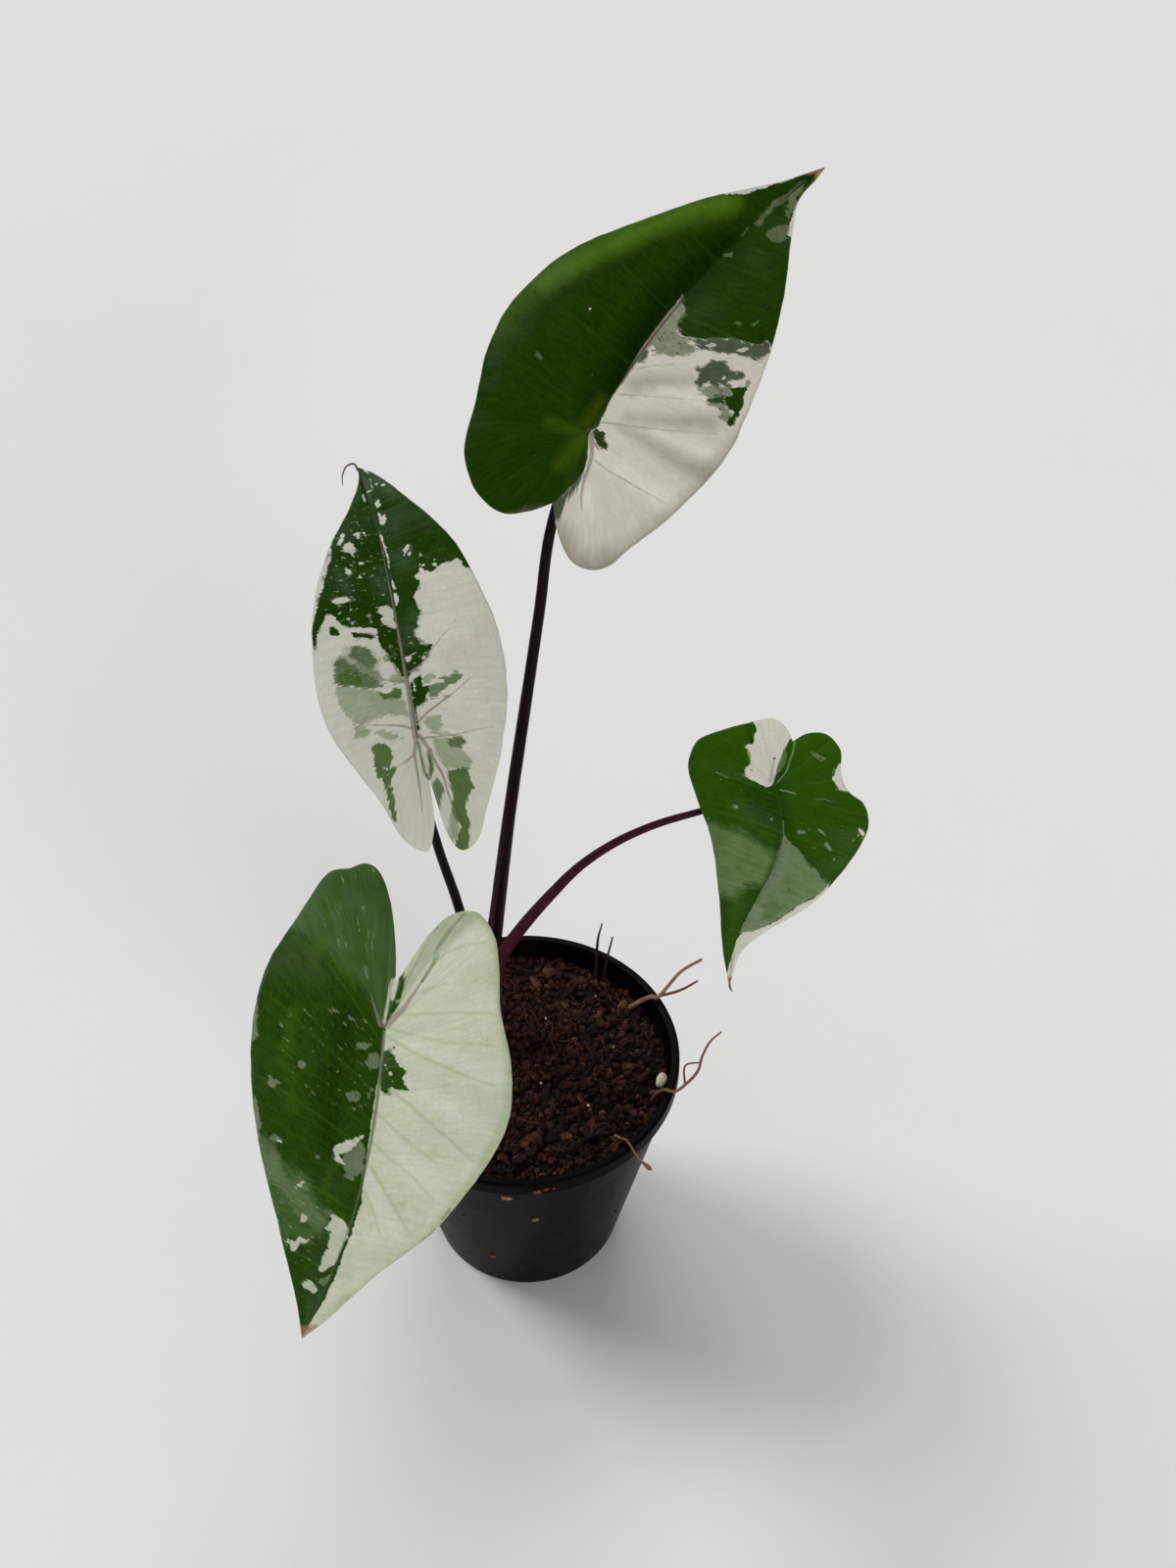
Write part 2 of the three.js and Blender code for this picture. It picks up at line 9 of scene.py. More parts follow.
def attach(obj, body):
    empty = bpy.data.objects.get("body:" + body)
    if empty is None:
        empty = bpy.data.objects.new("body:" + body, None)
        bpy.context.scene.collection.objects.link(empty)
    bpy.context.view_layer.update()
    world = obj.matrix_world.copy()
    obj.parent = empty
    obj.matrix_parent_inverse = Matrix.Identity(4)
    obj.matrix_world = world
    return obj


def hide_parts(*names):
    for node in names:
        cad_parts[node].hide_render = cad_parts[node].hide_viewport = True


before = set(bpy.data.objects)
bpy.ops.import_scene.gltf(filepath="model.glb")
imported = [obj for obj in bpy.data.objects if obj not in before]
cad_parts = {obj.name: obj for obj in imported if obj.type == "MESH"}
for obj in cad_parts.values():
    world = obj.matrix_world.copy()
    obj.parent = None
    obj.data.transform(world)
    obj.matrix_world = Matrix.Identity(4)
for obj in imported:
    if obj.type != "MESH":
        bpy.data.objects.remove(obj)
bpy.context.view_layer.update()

MM = 0.001
ROOT = "root"

# The camera, and the frame whose pixels the markings on the leaves are given in.
FRAME_WIDTH, FRAME_HEIGHT = 1200, 1600
CAMERA_PLACE = np.array([26.0, -533.0, 802.0])
CAMERA_PITCH = math.radians(45.45)
CAMERA_AHEAD = np.array([0, math.cos(CAMERA_PITCH), -math.sin(CAMERA_PITCH)])
CAMERA_UPWARD = np.array([0, math.sin(CAMERA_PITCH), math.cos(CAMERA_PITCH)])
CAMERA_LENS = 50.0
SENSOR = 36.0
FOCAL = CAMERA_LENS / SENSOR * FRAME_HEIGHT

# Nursery pot, mix, stem and the pale grain on the mix, as in the solids.
POT_HEIGHT = 107.0
POT_LIP = 100.0
POT_RIM = 62.5
POT_SHOULDER = 60.1
POT_BASE = 39.0
POT_WALL = 1.4
POT_FLOOR = 1.8
POT_SIDES = 192
DRAIN_RADIUS, DRAIN_CIRCLE, DRAIN_COUNT = 4.0, 26.0, 6
MIX_LEVEL = 97.6
STEM_PLACE = (-16.5, 19.5)
STEM_FOOT, STEM_TOP = 84.0, 116.0
STEM_RADII = (6.4, 4.3)
STEM_RINGS = 4
GRAIN_PLACE, GRAIN_RADII = (55.4, -7.8, 99.9), (2.2, 3.3, 2.0)

# Loose bits on the mix: how many there are, and how far from the pot's middle they reach.
CHIPS, CHIPS_REACH = 3150, 56.8
LARGE_CHIPS, LARGE_REACH = 26, 51.0
SPECKS, SPECKS_REACH = 12, 52.0
FIBRES, FIBRES_START, FIBRES_REACH = 150, 55.0, 56.5

# Blade grid: rows run out from the midrib as the side veins do, columns along it.
ROWS = 288
LOBE_ROWS = 96
COLUMNS = 44
COLUMN_POWER = 1.25
ROOT_POWER = 1.1
VEINS = 8

# Blade relief: depths, heights and half widths. A pair in brackets is at the joint and at the tip,
# or for the side veins at the midrib and at the margin.
FOLD_ROUNDING = 4.0
WAVE_REACH = 50.0
BLADE_THICKNESS = 0.8
EDGE_SHARE, EDGE_REACH = 0.4, 2.0
EDGE_RAGGED, EDGE_LUMPS = 0.22, 5.0
SWELL_LUMPS = 17.0
GROOVE_DEPTH, GROOVE_WIDTH = 0.22, 0.7
CHANNEL_DEPTH, CHANNEL_WIDTH = (0.75, 0.2), (1.6, 0.8)
RIB_HEIGHT, RIB_WIDTH = (1.9, 0.4), (1.6, 0.7)
VEIN_HEIGHT, VEIN_WIDTH = (1.0, 0.15), (0.95, 0.5)
COLLAR_HEIGHT, COLLAR_WIDTH = 1.2, 3.2
RIPPLE_HEIGHT, RIPPLE_LUMPS = 0.17, 2.8
WIDE_SPACING = 12.0

# Blade markings: how far their fields reach, the softest edge that gets a fringe, how long a side's
# margin counts in the grain of its noise, and how many fine veins there are in each 1 of that.
FIELD_REACH = 6.0
HARD_EDGE = 0.12
GRAIN_LENGTH = 200
FINE_VEINS = 0.24

# A stalk's sheath: the share of the stalk over which it closes, the depth and half width of its
# open channel, and the height, place and half width of its edges. All are shares of the stalk's
# radius, or turns in radians from its front.
SHEATH_CLOSING = 0.2
CHANNEL_CUT, CHANNEL_TURN = 0.62, 0.5
LIP_HEIGHT, LIP_PLACE, LIP_TURN = 0.22, 0.62, 0.17

# Leaf tones: linear colours, the lighter and the darker end of each.
TONES = {
    "dark": ((0.024, 0.070, 0.0006), (0.010, 0.034, 0.0002)),
    "green": ((0.082, 0.165, 0.016), (0.050, 0.115, 0.006)),
    "grey": ((0.085, 0.130, 0.055), (0.034, 0.060, 0.016)),
    "sage": ((0.330, 0.390, 0.250), (0.200, 0.255, 0.140)),
    "cream": ((0.620, 0.595, 0.520), (0.520, 0.495, 0.425)),
    "lime": ((0.400, 0.500, 0.230), (0.300, 0.400, 0.150)),
    "mauve": ((0.330, 0.258, 0.232), (0.210, 0.160, 0.148)),
    "vein": ((0.360, 0.320, 0.270), (0.290, 0.255, 0.215)),
    "greenvein": ((0.440, 0.500, 0.300), (0.380, 0.440, 0.240)),
    # The next four tones are painted light and shade, not the leaves' own colour: painted shade, painted
    # light, a painted sheen and painted shade on cream.
    "shade": ((0.008, 0.026, 0.0002), (0.004, 0.014, 0.0001)),
    "lit": ((0.052, 0.118, 0.004), (0.032, 0.080, 0.002)),
    "painted_sheen": ((0.040, 0.085, 0.030), (0.020, 0.052, 0.012)),
    "painted_cream_shade": ((0.330, 0.315, 0.260), (0.260, 0.245, 0.200)),
    "tan": ((0.420, 0.230, 0.100), (0.200, 0.100, 0.045)),
    "rust": ((0.120, 0.045, 0.022), (0.080, 0.030, 0.015)),
    "yellow": ((0.300, 0.360, 0.050), (0.200, 0.260, 0.030)),
}
# Tones that make a place pale, and those that end it. Veins and margins follow.
PALE_TONES = ("cream", "sage", "lime")
DEEP_TONES = ("dark", "green", "grey")

# Markings, painted in turn over each blade's base tone. Each layer has a tone, how ragged its edges
# are in mm, how soft they are in mm, how strongly it covers, and its shapes: areas as outlines,
# strokes as (width at the start, width at the end, points), and dots as (x, y, radius). Places and
# widths are pixels of the camera's frame. Flecks break the areas into specks, fewer for a higher
# number.
Marks = namedtuple("Marks", "tone ragged soft cover areas strokes dots flecks", defaults=((), (), (), None))

MARKS_A = [
    # Painted shade along the rib of the dark half, and painted light beyond it and on its crest.
    Marks("shade", 0.6, 10.0, 0.9, strokes=[(46, 24, [(612, 440), (636, 372), (684, 300), (740, 246)])]),
    Marks("lit", 0.6, 8.0, 0.4, strokes=[
        (26, 34, [(500, 330), (540, 290), (590, 260), (660, 225), (730, 205)]),
    ]),
    Marks("lit", 0.6, 6.0, 0.75, strokes=[(10, 22, [(556, 288), (600, 262), (700, 214), (744, 206)])]),
    # The cream half, with cream at the tip.
    Marks("cream", 0.6, 0.1, 1, areas=[
        [(697, 300), (694, 306), (698, 313), (699, 318), (694, 324), (690, 332), (693, 338), (699, 343),
         (720, 346), (748, 344), (773, 352), (778, 351), (782, 346), (792, 358), (805, 362), (795, 400),
         (780, 440), (750, 480), (700, 540), (650, 585), (600, 602), (560, 592), (545, 540), (560, 516),
         (566, 514), (580, 498), (588, 491), (594, 483), (598, 476), (600, 466), (601, 441), (612, 434),
         (614, 427), (625, 403), (648, 371), (652, 361), (660, 349)],
        [(752, 198), (757, 199), (810, 182), (808, 177), (770, 184), (755, 190), (735, 193), (738, 198)],
        [(803, 240), (808, 243), (816, 230), (818, 212), (814, 205), (807, 222)],
    ]),
    # Soft painted shade and soft painted highlights on the cream half, standing in for the shading of its
    # dips and ridges.
    Marks("painted_cream_shade", 1.0, 8.5, 0.85, strokes=[
        (80, 22, [(546, 566), (566, 594), (604, 602), (652, 585), (704, 537), (784, 432)]),
    ]),
    Marks("painted_cream_shade", 0.4, 5.0, 0.6, strokes=[
        (6, 16, [(640, 426), (680, 430), (724, 430)]), (6, 22, [(636, 436), (696, 474), (720, 484)]),
        (16, 8, [(648, 392), (672, 388), (700, 388)]),
    ]),
    Marks("painted_cream_light", 0.5, 4.5, 0.6, strokes=[
        (4, 12, [(668, 440), (720, 460)]), (4, 12, [(676, 400), (722, 408)]),
        (10, 24, [(612, 466), (644, 490), (676, 508)]), (14, 14, [(598, 500), (600, 522)]),
    ]),
    # Grey-green where cream and green meet, and flecks of it on the green.
    Marks("sage", 1.5, 0.9, 0.8, areas=[
        [(697, 302), (699, 318), (691, 333), (697, 342), (713, 357), (700, 363), (684, 364), (668, 361),
         (666, 352), (661, 358), (651, 365), (654, 356)],
        [(708, 390), (716, 395), (728, 391), (734, 394), (744, 393), (750, 398), (746, 405), (738, 408),
         (744, 420), (752, 421), (746, 425), (742, 431), (737, 428), (730, 415), (722, 413), (724, 408),
         (711, 399)],
    ]),
    Marks("sage", 0.9, 0.3, 0.75, areas=[
        [(781, 240), (784, 234), (797, 231), (803, 227), (806, 229), (803, 243), (799, 247), (793, 249),
         (788, 248)],
        [(738, 259), (747, 258), (746, 262), (738, 262)],
        [(547, 358), (551, 360), (553, 367), (550, 367), (547, 363)],
    ], strokes=[
        (1.6, 1, [(757, 241), (764, 232)]), (2, 1, [(746, 331), (757, 330)]),
        (2.5, 1.5, [(769, 331), (775, 327)]), (2, 1, [(597, 261), (596, 266)]),
    ]),
    Marks("grey", 1.4, 0.8, 0.9, areas=[
        [(699, 343), (720, 346), (750, 343), (773, 352), (778, 351), (782, 346), (787, 353), (785, 361),
         (778, 367), (770, 368), (752, 363), (716, 357), (708, 352)],
        [(706, 374), (712, 373), (718, 375), (727, 368), (739, 368), (743, 372), (744, 377), (756, 379),
         (758, 383), (755, 387), (743, 390), (745, 394), (736, 394), (726, 391), (714, 394), (709, 391),
         (713, 381)],
        [(722, 407), (728, 405), (738, 406), (742, 411), (736, 413), (728, 412)],
        [(566, 513), (594, 482), (596, 484), (593, 491), (577, 513), (571, 528), (567, 533), (560, 531),
         (560, 517)],
        [(648, 371), (652, 362), (659, 356), (664, 355), (663, 361), (655, 370)],
    ]),
    # Green bits in the cream, and cream bits in the green.
    Marks("dark", 0.7, 0.1, 1, areas=[
        [(746, 397), (752, 395), (757, 396), (763, 392), (762, 399), (759, 404), (758, 415), (754, 419),
         (753, 425), (745, 436), (741, 431), (749, 423), (750, 419), (744, 418), (738, 407), (746, 405),
         (748, 402)],
        [(604, 441), (608, 437), (617, 441), (618, 445), (616, 449), (619, 454), (620, 459), (613, 458),
         (609, 453)],
    ]),
    Marks("cream", 0.5, 0.15, 0.8, areas=[
        [(719, 352), (725, 350), (731, 352), (728, 355), (721, 355)],
        [(748, 359), (755, 355), (763, 353), (765, 357), (757, 360)],
    ], dots=[
        (613, 456, 0.9), (615, 450, 0.6), (544, 368, 0.8), (584, 371, 1), (602, 315, 1.2), (605, 383, 1),
        (739, 386, 2), (752, 381, 1),
    ]),
    # The rib and the side veins on cream.
    Marks("mauve", 0.1, 0.25, 0.85, strokes=[
        (5, 1.2, [(602, 440), (604, 452), (604, 466), (595, 494), (593, 508), (594, 522)]),
        (2.5, 5, [(634, 392), (657, 355), (670, 338)]), (5, 1, [(670, 338), (684, 318), (698, 302)]),
    ]),
    Marks("vein", 0.1, 0.25, 0.8, strokes=[
        (1.6, 1, [(642, 378), (660, 374), (690, 371)]), (1.4, 0.8, [(630, 402), (710, 408), (745, 415)]),
        (2.2, 1, [(614, 431), (680, 439), (733, 443)]), (2, 1, [(606, 469), (620, 480), (692, 521)]),
    ]),
    # Yellow-green by the joint.
    Marks("yellow", 0.5, 6.0, 0.5, strokes=[
        (13, 5, [(597, 443), (570, 476)]), (8, 3, [(592, 440), (560, 430)]),
        (7, 3, [(600, 432), (614, 408)]),
    ]),
    # Specks in the grey-green.
    Marks("grey", 1.8, 0.3, 0.7, areas=[
        [(700, 372), (724, 368), (750, 376), (760, 396), (756, 420), (742, 438), (722, 420), (706, 396)],
    ], flecks=1.2),
    Marks("sage", 1.8, 0.3, 0.6, areas=[
        [(700, 350), (784, 352), (780, 366), (700, 362)],
        [(706, 376), (750, 372), (752, 400), (716, 398)],
    ], flecks=1.25),
    Marks("grey", 2.0, 0.5, 0.7, areas=[
        [(672, 340), (697, 322), (694, 340), (716, 358), (690, 366), (664, 362)],
    ], flecks=0.9),
    # The grey-green point, a dot of rust and the dry tip.
    Marks("sage", 1.5, 0.6, 0.95, areas=[
        [(769, 229), (788, 206), (804, 197), (817, 185), (823, 184), (804, 228), (802, 218), (806, 208),
         (804, 203), (790, 212), (775, 229)],
    ]),
    Marks("rust", 0.1, 0.2, 0.7, dots=[(625, 312, 1.2)]),
    Marks("tan", 0.4, 1.2, 1, areas=[
        [(860, 160), (834, 163), (818, 172), (824, 178), (832, 177), (832, 184), (824, 194), (838, 190)],
    ]),
]

MARKS_B = [
    # Grey-green and green patches in the cream.
    Marks("sage", 1.3, 0.6, 0.85, areas=[
        [(342, 700), (350, 699), (384, 704), (400, 711), (412, 713), (417, 731), (410, 729), (400, 729),
         (390, 731), (370, 741), (366, 741), (348, 724), (344, 714)],
        [(362, 740), (370, 740), (378, 748), (374, 754), (362, 757)],
        [(383, 748), (390, 744), (412, 752), (398, 756), (388, 754)],
        [(398, 689), (410, 687), (415, 698), (404, 698), (396, 694)],
        [(431, 690), (438, 687), (444, 690), (440, 698), (432, 698)],
        [(432, 735), (436, 729), (452, 729), (450, 744), (458, 746), (462, 750), (440, 750)],
        [(440, 752), (471, 750), (473, 756), (471, 764), (480, 774), (480, 784), (455, 785), (443, 764)],
        [(460, 830), (466, 838), (469, 846), (467, 856), (461, 859), (457, 846)],
        [(454, 706), (460, 709), (456, 714), (452, 711)],
        [(366, 668), (374, 672), (394, 696), (386, 697), (362, 679)],
    ]),
    Marks("green", 1.6, 2.2, 0.5, areas=[
        [(342, 676), (350, 664), (366, 658), (384, 668), (388, 690), (372, 700), (345, 698)],
    ]),
    Marks("grey", 1.4, 0.7, 0.9, areas=[
        [(355, 668), (363, 658), (375, 662), (384, 673), (383, 680), (379, 685), (364, 673), (357, 672)],
        [(339, 688), (341, 680), (348, 669), (390, 700), (380, 703), (347, 700), (341, 694)],
        [(438, 700), (444, 694), (452, 693), (465, 686), (472, 687), (470, 693), (462, 697), (448, 709),
         (440, 711), (436, 708)],
        [(455, 753), (470, 751), (473, 757), (470, 763), (460, 764)],
        [(441, 801), (445, 795), (452, 803), (447, 836)],
    ]),
    Marks("green", 1.1, 0.3, 0.95, areas=[
        [(379, 762), (386, 760), (396, 760), (400, 766), (400, 776), (398, 784), (405, 782), (405, 788),
         (399, 793), (405, 839), (400, 835), (391, 797), (387, 795), (384, 788)],
        [(384, 704), (388, 707), (396, 706), (404, 702), (410, 702), (411, 708), (404, 713), (396, 714),
         (388, 712)],
        [(454, 786), (470, 783), (478, 784), (482, 798), (486, 803), (480, 808), (475, 824), (479, 842),
         (479, 868), (470, 873), (461, 871), (461, 864), (467, 858), (470, 848), (470, 842), (465, 836),
         (462, 828), (461, 818), (463, 810)],
        [(345, 690), (356, 683), (366, 688), (372, 698), (358, 700), (348, 699)],
    ], strokes=[
        (2.5, 2, [(426, 757), (434, 790), (438, 795)]),
        (4, 2, [(438, 766), (440, 778), (440, 788), (438, 795)]),
    ]),
    # The dark upper part, with a painted sheen on it.
    Marks("dark", 0.85, 0.1, 1, areas=[
        [(355, 470), (380, 470), (402, 488), (435, 510), (462, 538), (480, 562), (488, 582), (476, 578),
         (466, 570), (450, 575), (442, 583), (437, 584), (432, 583), (428, 574), (427, 579), (428, 583),
         (422, 590), (427, 592), (427, 597), (422, 608), (425, 618), (428, 621), (428, 626), (425, 633),
         (426, 638), (423, 643), (423, 648), (430, 657), (436, 658), (441, 657), (441, 661), (432, 676),
         (426, 682), (420, 685), (416, 692), (412, 691), (390, 661), (385, 650), (386, 645), (384, 641),
         (356, 640), (345, 634), (337, 626), (332, 628), (331, 633), (327, 637), (322, 662), (318, 655),
         (318, 640), (338, 568), (337, 557), (340, 545), (345, 530), (358, 500), (361, 485)],
        [(336, 645), (337, 640), (341, 639), (345, 643), (347, 648), (337, 649)],
        [(357, 646), (362, 645), (376, 647), (384, 650), (380, 653), (370, 650), (362, 650)],
        [(422, 693), (430, 689), (432, 701), (438, 699), (434, 712), (427, 721), (424, 718), (423, 708),
         (424, 700)],
    ], strokes=[
        (3, 1.5, [(420, 698), (427, 745)]), (1.2, 1, [(437, 790), (436, 792)]),
    ]),
    Marks("painted_sheen", 1.4, 4.0, 0.8, areas=[
        [(382, 582), (388, 578), (396, 584), (399, 616), (384, 608), (378, 596)],
        [(408, 640), (416, 638), (424, 642), (422, 650), (425, 660), (417, 660), (410, 652)],
        [(418, 622), (426, 620), (427, 628), (424, 634), (416, 630)],
        [(345, 590), (342, 578), (348, 584), (362, 612), (354, 608)],
        [(401, 565), (410, 558), (420, 556), (422, 566), (416, 577), (404, 580)],
        [(372, 480), (384, 480), (398, 492), (408, 506), (400, 512), (390, 500), (378, 492)],
    ]),
    # Cream flecks and specks on the dark part.
    Marks("cream", 0.8, 0.12, 0.95, areas=[
        [(349, 559), (357, 552), (363, 560), (361, 568), (356, 564), (350, 563)],
        [(344, 556), (350, 545), (350, 552), (347, 556)],
        [(337, 613), (341, 610), (350, 609), (355, 610), (357, 613), (345, 618)],
        [(384, 624), (388, 619), (394, 618), (400, 621), (402, 628), (402, 634), (406, 638), (404, 641),
         (397, 640), (392, 637), (388, 632), (391, 628)],
        [(385, 525), (387, 522), (390, 527), (393, 523), (393, 530), (391, 535), (388, 534)],
        [(383, 514), (386, 511), (388, 516), (385, 519)],
        [(370, 504), (373, 508), (373, 513), (369, 508)],
        [(412, 562), (416, 554), (418, 557), (412, 569)],
        [(418, 561), (420, 562), (418, 568), (416, 566)],
        [(362, 545), (367, 544), (366, 549), (363, 548)],
        [(368, 539), (371, 541), (373, 545), (370, 544)],
        [(402, 605), (406, 608), (406, 615), (404, 618), (402, 612)],
        [(399, 589), (401, 593), (403, 601), (401, 600)],
        [(442, 573), (446, 575), (443, 580), (441, 578)],
        [(412, 671), (421, 666), (420, 672), (416, 676)],
        [(431, 671), (434, 665), (438, 662), (432, 674)],
        [(352, 578), (360, 584), (356, 586), (352, 583)],
        [(367, 572), (371, 575), (369, 577), (366, 576)],
        [(391, 782), (395, 783), (397, 786), (392, 786)],
    ], strokes=[
        (2, 2.4, [(359, 500), (344, 534), (333, 566)]), (2.4, 4, [(333, 566), (321, 612), (316, 640)]),
        (2, 1, [(371, 478), (376, 483)]), (1.5, 1, [(378, 490), (380, 499)]),
        (1.5, 1, [(388, 545), (396, 570), (397, 580)]),
    ], dots=[
        (429, 566, 1.2), (432, 576, 1), (384, 494, 1.2), (391, 495, 1.6), (390, 665, 1.3),
        (394, 672, 1.5), (386, 672, 1), (398, 660, 1), (402, 666, 0.9), (348, 574, 1), (361, 574, 1.2),
        (363, 583, 1.3), (367, 589, 1), (358, 622, 1), (356, 632, 1), (360, 636, 1.2), (363, 634, 0.9),
        (376, 627, 0.9), (379, 634, 1.2),
    ]),
    Marks("cream", 2.6, 0.15, 0.85, areas=[
        [(366, 496), (380, 498), (394, 530), (400, 560), (398, 590), (384, 606), (370, 602), (350, 602),
         (342, 590), (346, 560)],
        [(336, 600), (352, 592), (372, 604), (392, 612), (398, 640), (372, 640), (344, 634), (330, 622)],
        [(426, 566), (442, 562), (474, 568), (482, 580), (452, 578), (430, 584)],
        [(350, 604), (396, 604), (400, 650), (380, 640), (350, 634), (330, 624)],
        [(392, 648), (420, 640), (436, 660), (420, 690), (400, 672)],
    ], flecks=1.62),
    # Grey-green specks.
    Marks("sage", 2.4, 0.2, 0.7, areas=[
        [(345, 520), (372, 500), (395, 540), (392, 590), (350, 640), (334, 620)],
        [(350, 690), (384, 660), (400, 700), (392, 735), (360, 735)],
        [(384, 765), (402, 765), (402, 800), (398, 830), (390, 800)],
    ], flecks=1.3),
    # The rib and the side veins.
    Marks("mauve", 0.1, 0.25, 0.85, strokes=[
        (6, 3.4, [(424, 752), (413, 683)]), (3.2, 1.8, [(413, 683), (402, 622)]),
        (1.6, 0.5, [(402, 622), (388, 551)]),
        (3.6, 1.1, [(424, 755), (423, 770), (429, 808), (431, 829)]),
        (4.4, 0.9, [(428, 751), (436, 762), (452, 791), (466, 838)]),
        (2.4, 0.8, [(422, 744), (412, 741), (400, 740), (366, 740)]),
        (2.4, 1, [(423, 769), (416, 776), (404, 783)]),
        (3, 0.8, [(428, 735), (436, 727), (466, 704), (488, 684)]),
        (2.5, 0.8, [(432, 753), (462, 750), (504, 741)]),
        (2.2, 0.8, [(412, 695), (398, 695), (384, 691), (366, 683)]),
        (2, 0.7, [(418, 686), (430, 678), (440, 663), (465, 632)]),
    ]),
]

